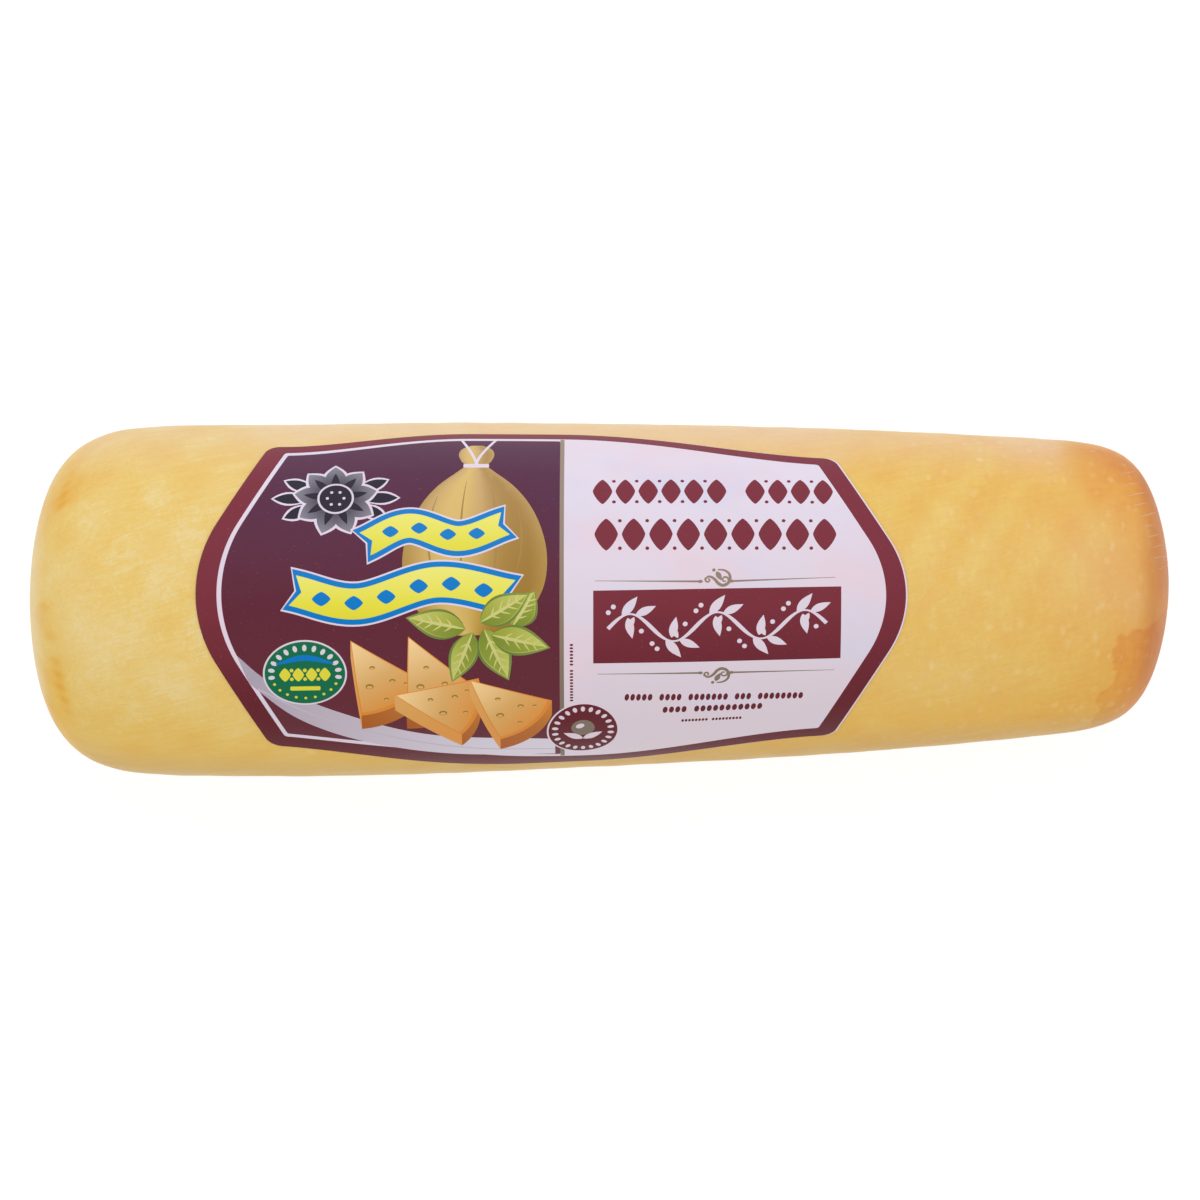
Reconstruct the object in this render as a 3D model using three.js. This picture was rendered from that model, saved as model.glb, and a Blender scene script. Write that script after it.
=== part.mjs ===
// A smoked provolone log, whole, in its tight clear shrink bag with the printed label.
// Millimetres, +Z up. The log lies along X with the label on top and the thin end at +X.
// The origin is on the plane it rests on, under the middle of its length.
import * as THREE from "three";

// ---- Driving dimensions of the log ---------------------------------------------------
const LOG_LENGTH = 328.6; // tip to tip
const BARREL_RADIUS = 51.1; // half width at the thick end
const TAPER_START = -101; // x where the log begins to narrow
const TAPER_RUN = 232; // length over which it loses TAPER_LOSS of radius
const TAPER_LOSS = 8;
const TAPER_POWER = 2.25;
const SECTION_SQUASH = 0.975; // height of a section over its width
const SAG = 0.93; // height of the centre line over the section's radius
const REST_BLEND = 0.25; // how softly the flat underside runs into the round
const BOW = 4.6; // sideways bend of the centre line at the thin end
const BOW_START = -90;
const BOW_RUN = 255;
const BOW_POWER = 1.15;
const LUMP_HEIGHT = 0.22; // gentle unevenness of the barrel

// Each end is a blunt dome: depth sets how far it reaches, power how square its rim is.
const THICK_END = { side: -1, depth: 10, power: 1.06 };
const THIN_END = { side: 1, depth: 8.3, power: 1.22 };

const SEGMENTS_AROUND = 72;
const BARREL_STATIONS = 26;
const DOME_STEP = THREE.MathUtils.degToRad(8); // turn of the dome between two rings
const DOME_RINGS = 10;

// ---- Driving dimensions of the label -------------------------------------------------
// Its outline is a long hexagon. The angles are measured round the log from its top.
const LABEL_LEFT = { apexX: -112.4, slope: 0.6, apexRadius: 38, apexY: 1 };
const LABEL_RIGHT = { apexX: 84.5, slope: 0.59, apexRadius: 34, apexY: -0.5 };
const TOP_EDGE = { left: 58, middle: 66, right: 52.3 }; // degrees above the corners and middle
const BOTTOM_EDGE = { left: -52.8, middle: -69.6, right: -58.8 };
const TOP_RISE = { start: -88, end: -38 };
const TOP_FALL = { start: 2, end: 66 };
const BOTTOM_RISE = { start: -90, end: -28 };
const BOTTOM_FALL = { start: -5, end: 58 };
const BORDER_WIDTH = { side: 5.2, top: 3.2, bottom: 5.4 }; // along X, and in degrees
const KEYLINE_WIDTH = { side: 1.3, around: 1.4 }; // clear line between border and picture
const DIVIDER_X = -11.8;
const LABEL_CORNER = 3;
const LABEL_SPAN = { along: 160, around: 100 };

const SKIN_GAP = 0.35; // clear gap under each printed layer
const SKIN_THICKNESS = 0.35;
const FIELD_GAP = { side: 0.8, around: 0.9 }; // between the border and the text field

const NAME_BAND = { left: -2.6, right: 66.5, low: -21.7, high: 2.8 };
const NAME_BAND_LEAN = { low: -3, high: -1.4 }; // degrees gained from its left end to its right
const LEFT_OVAL = { x: -82.8, angle: -23.8, halfLength: 11.7, halfAngle: 11.2 };
const MIDDLE_OVAL = { x: -5.5, angle: -48, halfLength: 10.4, halfAngle: 12 };

// ---- Driving dimensions of the bag's end seals ---------------------------------------
const SEAL = { length: 58, width: 4.4, thickness: 0.9, gap: 0.35, drop: 2.4, wave: 0.7 };

// ---- Colours -------------------------------------------------------------------------
const smokedCheese = plastic(0xe9c679, 0.42);
const burgundyInk = plastic(0x7b3443, 0.34);
const plumInk = plastic(0x5c3850, 0.34);
const paleInk = plastic(0xe3d6e0, 0.36);
const greenInk = plastic(0x1b7a48, 0.34);
const sealFilm = plastic(0xe6d3a4, 0.3);

function plastic(color, roughness) {
  return new THREE.MeshStandardMaterial({ color, roughness, metalness: 0 });
}

const { degToRad, lerp, clamp, smoothstep } = THREE.MathUtils;

// ---- The log's surface ---------------------------------------------------------------
function barrelRadius(x) {
  const run = Math.max(0, (x - TAPER_START) / TAPER_RUN);
  return BARREL_RADIUS - TAPER_LOSS * run ** TAPER_POWER;
}

function centreY(x) {
  return BOW * Math.max(0, (x - BOW_START) / BOW_RUN) ** BOW_POWER;
}

function centreZ(x) {
  return SAG * barrelRadius(x);
}

// How much of the barrel's radius a dome has at a distance in from its tip.
function domeShare(end, distance) {
  return Math.sqrt(1 - Math.exp(-((distance / end.depth) ** end.power)));
}

function domeDistance(end, share) {
  return end.depth * (-Math.log(1 - share * share)) ** (1 / end.power);
}

function tipX(end) {
  return (end.side * LOG_LENGTH) / 2;
}

function bodyRadius(x) {
  const half = LOG_LENGTH / 2;
  const thick = domeShare(THICK_END, Math.max(0, half + x));
  const thin = domeShare(THIN_END, Math.max(0, half - x));
  return barrelRadius(x) * thick * thin;
}

function lump(x, angle) {
  const long = Math.sin(x / 19 + 1.1) * Math.cos(2 * angle + 0.5);
  const cross = Math.sin(x / 31 - 3 * angle);
  return LUMP_HEIGHT * 0.5 * (long + cross);
}

// The underside settles flat on the plane it rests on.
function settled(z) {
  if (z >= REST_BLEND) return z;
  if (z <= -REST_BLEND) return 0;
  return (z + REST_BLEND) ** 2 / (4 * REST_BLEND);
}

function logPoint(x, angle, lift = 0) {
  const body = bodyRadius(x);
  const radius = body + lump(x, angle) * (body / BARREL_RADIUS);
  const y = centreY(x) + (radius + lift) * Math.sin(angle);
  const z = centreZ(x) + (SECTION_SQUASH * radius + lift) * Math.cos(angle);
  return new THREE.Vector3(x, y, settled(z));
}

// Rings crowd together towards each tip, one for each equal turn of the dome.
function ringStations() {
  const stations = [];
  for (let ring = 1; ring <= DOME_RINGS; ring++) {
    const distance = domeDistance(THICK_END, Math.sin(ring * DOME_STEP));
    stations.push(tipX(THICK_END) + distance);
  }
  const start = stations[stations.length - 1];
  const end = tipX(THIN_END) - domeDistance(THIN_END, Math.sin(DOME_RINGS * DOME_STEP));
  for (let step = 1; step < BARREL_STATIONS; step++) {
    stations.push(lerp(start, end, step / BARREL_STATIONS));
  }
  for (let ring = DOME_RINGS; ring >= 1; ring--) {
    const distance = domeDistance(THIN_END, Math.sin(ring * DOME_STEP));
    stations.push(tipX(THIN_END) - distance);
  }
  return stations;
}

function cheeseLog() {
  const stations = ringStations();
  const points = [];
  const triangles = [];
  for (const x of stations) {
    for (let step = 0; step < SEGMENTS_AROUND; step++) {
      points.push(logPoint(x, (2 * Math.PI * step) / SEGMENTS_AROUND));
    }
  }
  for (let ring = 0; ring + 1 < stations.length; ring++) {
    for (let step = 0; step < SEGMENTS_AROUND; step++) {
      const next = (step + 1) % SEGMENTS_AROUND;
      const here = ring * SEGMENTS_AROUND;
      const ahead = here + SEGMENTS_AROUND;
      triangles.push(here + step, ahead + step, here + next);
      triangles.push(here + next, ahead + step, ahead + next);
    }
  }
  closeTip(points, triangles, THICK_END, 0);
  closeTip(points, triangles, THIN_END, (stations.length - 1) * SEGMENTS_AROUND);
  return mesh("cheese_log", points, triangles, smokedCheese);
}

function closeTip(points, triangles, end, firstOfRing) {
  const tip = points.length;
  points.push(logPoint(tipX(end), 0));
  for (let step = 0; step < SEGMENTS_AROUND; step++) {
    const here = firstOfRing + step;
    const next = firstOfRing + ((step + 1) % SEGMENTS_AROUND);
    if (end.side < 0) triangles.push(tip, here, next);
    else triangles.push(tip, next, here);
  }
}

// ---- The label's outline -------------------------------------------------------------
// A side edge seen from above: two straight lines that meet in a wide arc at the apex.
function sideX(side, y, direction) {
  const lean = Math.atan(side.slope);
  const reach = side.apexRadius * Math.sin(lean);
  const across = Math.abs(y - side.apexY);
  if (across <= reach) {
    const sagitta = side.apexRadius - Math.sqrt(side.apexRadius ** 2 - across ** 2);
    return side.apexX - direction * sagitta;
  }
  const sagitta = side.apexRadius * (1 - Math.cos(lean));
  return side.apexX - direction * (sagitta + (across - reach) * side.slope);
}

function topAngle(x) {
  const rise = (TOP_EDGE.middle - TOP_EDGE.left) * smoothstep(x, TOP_RISE.start, TOP_RISE.end);
  const fall = (TOP_EDGE.middle - TOP_EDGE.right) * smoothstep(x, TOP_FALL.start, TOP_FALL.end);
  return degToRad(TOP_EDGE.left + rise - fall);
}

function bottomAngle(x) {
  const { left, middle, right } = BOTTOM_EDGE;
  const drop = (middle - left) * smoothstep(x, BOTTOM_RISE.start, BOTTOM_RISE.end);
  const lift = (right - middle) * smoothstep(x, BOTTOM_FALL.start, BOTTOM_FALL.end);
  return degToRad(left + drop + lift);
}

// The label's four edges, each pulled in by its own amount.
function labelEdges(inset) {
  const yAt = (angle) => BARREL_RADIUS * Math.sin(angle);
  return {
    left: (angle) => sideX(LABEL_LEFT, yAt(angle), -1) + inset.side,
    right: (angle) => sideX(LABEL_RIGHT, yAt(angle), 1) - inset.side,
    low: (x) => bottomAngle(x) + degToRad(inset.bottom),
    high: (x) => topAngle(x) - degToRad(inset.top),
  };
}

// Four edges of a box whose low and high edges may lean by a few degrees along it.
function boxEdges({ left, right, low, high }, lean = { low: 0, high: 0 }) {
  const share = (x) => (x - left) / (right - left);
  return {
    left: () => left,
    right: () => right,
    low: (x) => degToRad(low + lean.low * share(x)),
    high: (x) => degToRad(high + lean.high * share(x)),
  };
}

function ovalEdges({ x, angle, halfLength, halfAngle }) {
  return boxEdges({
    left: x - halfLength,
    right: x + halfLength,
    low: angle - halfAngle,
    high: angle + halfAngle,
  });
}

// Where a share u along and v around lies between four edges that depend on each other.
function spotBetween(edges, u, v) {
  let x = 0;
  let angle = 0;
  for (let pass = 0; pass < 8; pass++) {
    angle = lerp(edges.low(x), edges.high(x), v);
    x = lerp(edges.left(angle), edges.right(angle), u);
  }
  return { x, angle };
}

// Turns the corners of the unit square into quarter rounds of the given shares.
function rounded(u, v, corner) {
  const p = clamp(Math.abs(u - 0.5) - (0.5 - corner.u), 0, corner.u) / corner.u;
  const q = clamp(Math.abs(v - 0.5) - (0.5 - corner.v), 0, corner.v) / corner.v;
  if (p === 0 || q === 0) return [u, v];
  const pulledU = 0.5 - corner.u + corner.u * p * Math.sqrt(1 - (q * q) / 2);
  const pulledV = 0.5 - corner.v + corner.v * q * Math.sqrt(1 - (p * p) / 2);
  return [0.5 + Math.sign(u - 0.5) * pulledU, 0.5 + Math.sign(v - 0.5) * pulledV];
}

function cornerShares(radius) {
  return { u: radius / LABEL_SPAN.along, v: radius / LABEL_SPAN.around };
}

// Grid lines from 0 to 1: a few across each rounded corner, and even cells between them.
function gridLines(cells, corner, cornerSteps) {
  const lines = [];
  for (let step = 0; step < cornerSteps; step++) lines.push((corner * step) / cornerSteps);
  const mirrored = lines.map((line) => 1 - line).reverse();
  for (let cell = 0; cell <= cells; cell++) lines.push(lerp(corner, 1 - corner, cell / cells));
  return [...lines, ...mirrored];
}

function layerLift(layer) {
  return SKIN_GAP + layer * (SKIN_GAP + SKIN_THICKNESS);
}

// A printed field: a thin solid that follows the log between four edges.
function printedField(name, edges, grid, layer, material) {
  const along = gridLines(grid.along, grid.corner.u, grid.cornerSteps);
  const around = gridLines(grid.around, grid.corner.v, grid.cornerSteps);
  const lift = layerLift(layer);
  const points = [];
  for (const height of [lift, lift + SKIN_THICKNESS]) {
    for (const v of around) {
      for (const u of along) {
        const [roundU, roundV] = rounded(u, v, grid.corner);
        const { x, angle } = spotBetween(edges, roundU, roundV);
        points.push(logPoint(x, angle, height));
      }
    }
  }
  return mesh(name, points, slabTriangles(around.length, along.length), material);
}

// Closes two equal grids of points, inner and outer, into one slab.
function slabTriangles(rows, columns) {
  const triangles = [];
  const outer = rows * columns;
  const quad = (a, b, c, d) => triangles.push(a, b, c, a, c, d);
  for (let row = 0; row + 1 < rows; row++) {
    for (let column = 0; column + 1 < columns; column++) {
      const a = row * columns + column;
      quad(a + outer, a + 1 + outer, a + 1 + columns + outer, a + columns + outer);
      quad(a, a + columns, a + 1 + columns, a + 1);
    }
  }
  for (let near = 0; near + 1 < columns; near++) {
    const far = (rows - 1) * columns + near;
    quad(near, near + 1, near + 1 + outer, near + outer);
    quad(far + 1, far, far + outer, far + 1 + outer);
  }
  for (let row = 0; row + 1 < rows; row++) {
    const left = row * columns;
    const right = left + columns - 1;
    quad(left + columns, left, left + outer, left + columns + outer);
    quad(right, right + columns, right + columns + outer, right + outer);
  }
  return triangles;
}

// The spots of the unit square's edge, once round.
function squareEdge(along, around) {
  const spots = [];
  for (const u of along.slice(0, -1)) spots.push([u, 0]);
  for (const v of around.slice(0, -1)) spots.push([1, v]);
  for (const u of along.slice(1).reverse()) spots.push([u, 1]);
  for (const v of around.slice(1).reverse()) spots.push([0, v]);
  return spots;
}

// The label's border: a thin ring between the outer outline and the same outline pulled in.
function labelBorder() {
  const corner = cornerShares(LABEL_CORNER);
  const spots = squareEdge(gridLines(24, corner.u, 2), gridLines(22, corner.v, 2));
  const outlines = [labelEdges({ side: 0, top: 0, bottom: 0 }), labelEdges(BORDER_WIDTH)];
  const points = [];
  for (const [u, v] of spots) {
    const [roundU, roundV] = rounded(u, v, corner);
    for (const edges of outlines) {
      const { x, angle } = spotBetween(edges, roundU, roundV);
      points.push(logPoint(x, angle, layerLift(0)));
      points.push(logPoint(x, angle, layerLift(0) + SKIN_THICKNESS));
    }
  }
  return mesh("label_border", points, ringTriangles(spots.length), burgundyInk);
}

// Four points a spot, outer edge then inner edge, each low then high.
function ringTriangles(spotCount) {
  const triangles = [];
  const quad = (a, b, c, d) => triangles.push(a, b, c, a, c, d);
  for (let spot = 0; spot < spotCount; spot++) {
    const here = spot * 4;
    const next = ((spot + 1) % spotCount) * 4;
    quad(here, here + 2, next + 2, next);
    quad(here + 3, here + 1, next + 1, next + 3);
    quad(here + 1, here, next, next + 1);
    quad(here + 2, here + 3, next + 3, next + 2);
  }
  return triangles;
}

function insetBy(width, gap) {
  return {
    side: width.side + gap.side,
    top: width.top + gap.around,
    bottom: width.bottom + gap.around,
  };
}

function label() {
  const group = new THREE.Group();
  const corner = cornerShares(1);
  const fieldGrid = { along: 12, around: 22, corner, cornerSteps: 1 };
  const bandGrid = { along: 9, around: 5, corner, cornerSteps: 1 };
  const pictureEdges = labelEdges(insetBy(BORDER_WIDTH, KEYLINE_WIDTH));
  const textEdges = labelEdges(insetBy(BORDER_WIDTH, FIELD_GAP));
  const bandEdges = boxEdges(NAME_BAND, NAME_BAND_LEAN);
  pictureEdges.right = () => DIVIDER_X - SKIN_GAP / 2;
  textEdges.left = () => DIVIDER_X + SKIN_GAP / 2;
  group.add(labelBorder());
  group.add(printedField("label_picture_field", pictureEdges, fieldGrid, 0, plumInk));
  group.add(printedField("label_text_field", textEdges, fieldGrid, 0, paleInk));
  group.add(printedField("label_name_band", bandEdges, bandGrid, 1, burgundyInk));
  group.add(printedOval("label_left_oval", LEFT_OVAL, 1, greenInk));
  group.add(printedOval("label_middle_oval", MIDDLE_OVAL, 1, burgundyInk));
  return group;
}

// An oval is a box whose corner rounds all but meet.
function printedOval(name, place, layer, material) {
  const grid = { along: 1, around: 1, corner: { u: 0.47, v: 0.47 }, cornerSteps: 4 };
  return printedField(name, ovalEdges(place), grid, layer, material);
}

// ---- The bag's end seals -------------------------------------------------------------
// A flat ribbon of welded film, shrunk against the dome across its middle.
function domeSurface(end, y, z) {
  const radius = barrelRadius(tipX(end));
  const share = Math.hypot(y, z / SECTION_SQUASH) / radius;
  return tipX(end) - end.side * domeDistance(end, Math.min(share, 0.99));
}

function sealPoint(end, y, z, lift) {
  const step = 0.5;
  const slopeY = (domeSurface(end, y + step, z) - domeSurface(end, y - step, z)) / (2 * step);
  const slopeZ = (domeSurface(end, y, z + step) - domeSurface(end, y, z - step)) / (2 * step);
  const normal = new THREE.Vector3(1, -slopeY, -slopeZ).multiplyScalar(end.side).normalize();
  const foot = new THREE.Vector3(domeSurface(end, y, z), y, z);
  const centre = new THREE.Vector3(0, centreY(tipX(end)), centreZ(tipX(end)));
  return foot.addScaledVector(normal, lift).add(centre);
}

function endSeal(name, end) {
  const steps = 20;
  const points = [];
  const triangles = [];
  for (let step = 0; step <= steps; step++) {
    const y = lerp(-SEAL.length / 2, SEAL.length / 2, step / steps);
    const middle = -SEAL.drop + SEAL.wave * Math.sin(y / 6);
    const upper = middle + SEAL.width / 2;
    const lower = middle - SEAL.width / 2;
    points.push(sealPoint(end, y, upper, SEAL.gap));
    points.push(sealPoint(end, y, upper, SEAL.gap + SEAL.thickness));
    points.push(sealPoint(end, y, lower, SEAL.gap + SEAL.thickness));
    points.push(sealPoint(end, y, lower, SEAL.gap));
  }
  const quad = (a, b, c, d) => {
    if (end.side < 0) triangles.push(a, b, c, a, c, d);
    else triangles.push(a, c, b, a, d, c);
  };
  for (let step = 0; step < steps; step++) {
    const here = step * 4;
    for (let edge = 0; edge < 4; edge++) {
      const next = (edge + 1) % 4;
      quad(here + next, here + edge, here + edge + 4, here + next + 4);
    }
  }
  const last = steps * 4;
  quad(0, 1, 2, 3);
  quad(last + 3, last + 2, last + 1, last);
  return mesh(name, points, triangles, sealFilm);
}

// ---- Assembly ------------------------------------------------------------------------
function mesh(name, points, triangles, material) {
  const geometry = new THREE.BufferGeometry().setFromPoints(points);
  geometry.setIndex(triangles);
  geometry.computeVertexNormals();
  const made = new THREE.Mesh(geometry, material);
  made.name = name;
  return made;
}

const group = new THREE.Group();
group.name = "provolone_log";
group.add(cheeseLog());
group.add(label());
group.add(endSeal("seal_thick_end", THICK_END));
group.add(endSeal("seal_thin_end", THIN_END));

export default group;
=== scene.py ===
import math
from functools import reduce

import bpy
import numpy as np
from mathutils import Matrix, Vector
from mathutils.geometry import delaunay_2d_cdt


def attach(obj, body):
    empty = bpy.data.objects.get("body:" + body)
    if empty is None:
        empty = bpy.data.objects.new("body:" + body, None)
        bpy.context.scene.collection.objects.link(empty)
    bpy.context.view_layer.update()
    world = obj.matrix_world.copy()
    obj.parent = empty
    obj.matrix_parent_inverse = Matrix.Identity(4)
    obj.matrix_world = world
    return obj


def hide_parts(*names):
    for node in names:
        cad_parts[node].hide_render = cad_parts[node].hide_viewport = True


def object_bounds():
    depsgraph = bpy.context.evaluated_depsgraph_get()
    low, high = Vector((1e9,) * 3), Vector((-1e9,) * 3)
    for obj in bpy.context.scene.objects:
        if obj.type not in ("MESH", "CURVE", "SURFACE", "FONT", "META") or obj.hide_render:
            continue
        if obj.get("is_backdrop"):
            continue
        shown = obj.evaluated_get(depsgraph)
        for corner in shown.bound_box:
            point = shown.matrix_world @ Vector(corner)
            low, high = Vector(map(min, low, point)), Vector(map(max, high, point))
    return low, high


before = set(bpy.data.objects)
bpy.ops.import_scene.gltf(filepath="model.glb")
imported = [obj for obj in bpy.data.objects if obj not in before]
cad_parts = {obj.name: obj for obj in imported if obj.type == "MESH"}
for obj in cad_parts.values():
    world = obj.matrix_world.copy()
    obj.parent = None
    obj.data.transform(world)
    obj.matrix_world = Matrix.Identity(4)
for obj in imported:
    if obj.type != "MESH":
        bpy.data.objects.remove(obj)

cad_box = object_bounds()
MM = 0.001

# ---- The log, by the part's own values
LOG_LENGTH = 328.6
BARREL_RADIUS = 51.1
TAPER_START, TAPER_RUN, TAPER_LOSS, TAPER_POWER = -101, 232, 8, 2.25
SECTION_SQUASH = 0.975
SAG = 0.93
REST_BLEND = 0.25
BOW, BOW_START, BOW_RUN, BOW_POWER = 4.6, -90, 255, 1.15
LUMP_HEIGHT = 0.22
THICK_END = {"side": -1, "depth": 10, "power": 1.06}
THIN_END = {"side": 1, "depth": 8.3, "power": 1.22}
HALF = LOG_LENGTH / 2


def smoothstep(x, start, end):
    t = np.clip((np.asarray(x, float) - start) / (end - start), 0, 1)
    return t * t * (3 - 2 * t)


def hump(x, middle, width):
    return np.exp(-(((x - middle) / width) ** 2))


def unit(vectors):
    return vectors / np.linalg.norm(vectors, axis=-1, keepdims=True)


def barrel_radius(x):
    run = np.maximum(0, (np.asarray(x, float) - TAPER_START) / TAPER_RUN)
    return BARREL_RADIUS - TAPER_LOSS * run**TAPER_POWER


def centre_y(x):
    return BOW * np.maximum(0, (np.asarray(x, float) - BOW_START) / BOW_RUN) ** BOW_POWER


def dome_share(end, distance):
    away = np.maximum(0, distance)
    return np.sqrt(1 - np.exp(-((away / end["depth"]) ** end["power"])))


def dome_distance(end, share):
    return end["depth"] * (-np.log(1 - share * share)) ** (1 / end["power"])


def body_radius(x):
    return barrel_radius(x) * dome_share(THICK_END, HALF + x) * dome_share(THIN_END, HALF - x)


def settled(z):
    blend = (z + REST_BLEND) ** 2 / (4 * REST_BLEND)
    return np.where(z >= REST_BLEND, z, np.where(z <= -REST_BLEND, 0.0, blend))


def log_point(x, a):
    """The log's surface at x, and at an angle a round from its top towards +Y."""
    x, a = np.broadcast_arrays(np.asarray(x, float), np.asarray(a, float))
    body = body_radius(x)
    uneven = np.sin(x / 19 + 1.1) * np.cos(2 * a + 0.5) + np.sin(x / 31 - 3 * a)
    radius = body + LUMP_HEIGHT * 0.5 * uneven * body / BARREL_RADIUS
    y = centre_y(x) + radius * np.sin(a)
    z = SAG * barrel_radius(x) + SECTION_SQUASH * radius * np.cos(a)
    return np.stack([x, y, settled(z)], -1)


NUDGE, NUDGE_TURN = 0.05, 0.001  # to either side for a slope, in millimetres and radians


def log_normal(x, a):
    along = log_point(x + NUDGE, a) - log_point(x - NUDGE, a)
    around = log_point(x, a + NUDGE_TURN) - log_point(x, a - NUDGE_TURN)
    return unit(np.cross(along, around))


# ---- Unevenness, the same on each run
def ripples(seed, x, a, long_range, turn_range, count=14, twist=0.0):
    """A sum of waves over x and the angle that closes round the log. Its spread is about 1."""
    rng = np.random.default_rng(seed)
    total = np.zeros(np.broadcast(x, a).shape)
    for _ in range(count):
        length = rng.uniform(*long_range)
        turns = int(rng.integers(turn_range[0], turn_range[1] + 1)) * rng.choice([-1, 1])
        phase = rng.uniform(0, 2 * math.pi)
        total = total + np.cos(2 * math.pi * x / length + turns * (a - twist * x) + phase)
    return total / math.sqrt(count / 2)


def end_distance(x):
    """How far the surface is from the nearer rim, growing inwards."""
    return np.minimum(HALF + x, HALF - x)


# ---- Meshes
def add_object(name, data):
    thing = bpy.data.objects.new(name, data)
    bpy.context.scene.collection.objects.link(thing)
    return thing


def new_piece(name, points, faces, material, slot, replaced=(), normals=None):
    mesh = bpy.data.meshes.new(name)
    mesh.from_pydata((np.asarray(points) * MM).tolist(), [], faces)
    mesh.update()
    mesh.shade_smooth()
    if normals is not None:
        mesh.normals_split_custom_set_from_vertices(np.asarray(normals).tolist())
    mesh.materials.append(material)
    piece = add_object(name, mesh)
    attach(piece, "root")
    for node in replaced:
        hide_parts(node)
    return piece


def store(piece, name, values, domain="POINT"):
    values = np.asarray(values, np.float32)
    kind, field = ("FLOAT_VECTOR", "vector") if values.ndim == 2 else ("FLOAT", "value")
    piece.data.attributes.new(name, kind, domain).data.foreach_set(field, values.ravel())


DOME_RINGS, BARREL_STEPS, AROUND = 36, 216, 256  # how finely a skin is cut
DOME_TURN = np.radians(80)  # how far out over a dome its rings reach
FLOOR_GAP = 0.02  # keeps a skin clear of the plane it rests on


def stations():
    """The x of each ring of a skin, closer together over the domes."""
    share = np.sin(DOME_TURN * np.arange(1, DOME_RINGS + 1) / DOME_RINGS)
    thick = -HALF + dome_distance(THICK_END, share)
    thin = HALF - dome_distance(THIN_END, share)
    barrel = np.linspace(thick[-1], thin[-1], BARREL_STEPS + 1)[1:-1]
    return np.concatenate([thick, barrel, thin[::-1]])


def skin(height):
    """A closed skin on the log: points, faces, and each point's x and angle. height(x, a) is
    how far each point stands out of the log's own surface."""
    x, a = np.meshgrid(stations(), 2 * math.pi * np.arange(AROUND) / AROUND, indexing="ij")
    points = log_point(x, a) + log_normal(x, a) * height(x, a)[..., None]
    points[..., 2] = np.maximum(points[..., 2], FLOOR_GAP)
    points = points.reshape(-1, 3)
    ids = np.arange(x.size).reshape(x.shape)
    after = np.roll(ids, -1, 1)
    faces = np.stack([ids[:-1], ids[1:], after[1:], after[:-1]], -1).reshape(-1, 4).tolist()
    for side, ring in ((-1, 0), (1, -1)):  # each end is shut by a fan round its tip
        tip = log_point(side * HALF, 0.0)
        tip[0] += side * height(np.array(side * HALF), np.array(0.0))
        faces += [[len(points), *pair[::-side]] for pair in zip(ids[ring], after[ring])]
        points = np.vstack([points, tip])
    return points, faces, np.append(x, [-HALF, HALF]), np.append(a, [0.0, 0.0])


# ---- Materials
class Shader:
    """A node material, built by short calls that return output sockets."""

    def __init__(self, name, **plain):
        self.material = bpy.data.materials.new(name)
        self.material.use_nodes = True
        self.tree = self.material.node_tree
        self.surface = self.tree.nodes["Principled BSDF"]
        self.drive(**plain)

    def drive(self, **sockets):
        """Plain values or outputs for the surface's sockets, by their names."""
        for name, value in sockets.items():
            self.set(self.surface.inputs[name.replace("_", " ")], value)

    def set(self, socket, value):
        if isinstance(value, bpy.types.NodeSocket):
            self.tree.links.new(value, socket)
        else:
            socket.default_value = value

    def put(self, kind, output=0, inputs=(), **settings):
        node = self.tree.nodes.new("ShaderNode" + kind)
        for key, value in settings.items():
            setattr(node, key, value)
        for key, value in dict(inputs).items():
            self.set(node.inputs[key], value)
        return node.outputs[output]

    def math(self, operation, a, b, clamp=False):
        return self.put("Math", inputs={0: a, 1: b}, operation=operation, use_clamp=clamp)

    def total(self, *values):
        return reduce(lambda a, b: self.math("ADD", a, b), values)

    def times(self, *values):
        return reduce(lambda a, b: self.math("MULTIPLY", a, b), values)

    def scaled(self, value, gain):
        """gain times how far the value is from a half."""
        return self.times(self.math("SUBTRACT", value, 0.5), gain)

    def band(self, value, low, high, bottom=0.0, top=1.0):
        inputs = {0: value, 1: low, 2: high, 3: bottom, 4: top}
        return self.put("MapRange", inputs=inputs, interpolation_type="SMOOTHSTEP")

    def mix(self, factor, a, b):
        return self.put("Mix", output=2, inputs={0: factor, 6: a, 7: b}, data_type="RGBA")

    def tinted(self, base, colour, *shares):
        """The base mixed with a colour by the product of the shares."""
        return self.mix(self.times(*shares), base, srgb(*colour))

    def ramp(self, value, stops):
        node = self.put("ValToRGB", inputs={0: value}).node
        elements = node.color_ramp.elements
        while len(elements) < len(stops):
            elements.new(0.5)
        for element, (place, colour) in zip(elements, stops):
            element.position = place
            element.color = srgb(*colour)
        return node.outputs[0]

    def noise(self, vector, scale, detail=2.0, roughness=0.5):
        """The scale is one number, or three for a stretched noise."""
        if isinstance(scale, tuple):
            vector, scale = self.stretched(vector, scale), 1.0
        inputs = {"Vector": vector, "Scale": scale, "Detail": detail, "Roughness": roughness}
        return self.put("TexNoise", inputs=inputs)

    def stretched(self, vector, scale):
        return self.put("Mapping", inputs={"Vector": vector, "Scale": scale})

    def attribute(self, name, vector=False):
        return self.put("Attribute", output=1 if vector else 2, attribute_name=name)

    def place(self):
        return self.put("TexCoord", output=3)

    def bump(self, height, distance, strength):
        inputs = {"Height": height, "Distance": distance, "Strength": strength}
        self.drive(Normal=self.put("Bump", inputs=inputs))


def srgb(r, g, b):
    def line(v):
        v /= 255
        return v / 12.92 if v <= 0.04045 else ((v + 0.055) / 1.055) ** 2.4

    return (line(r), line(g), line(b), 1.0)


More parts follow.
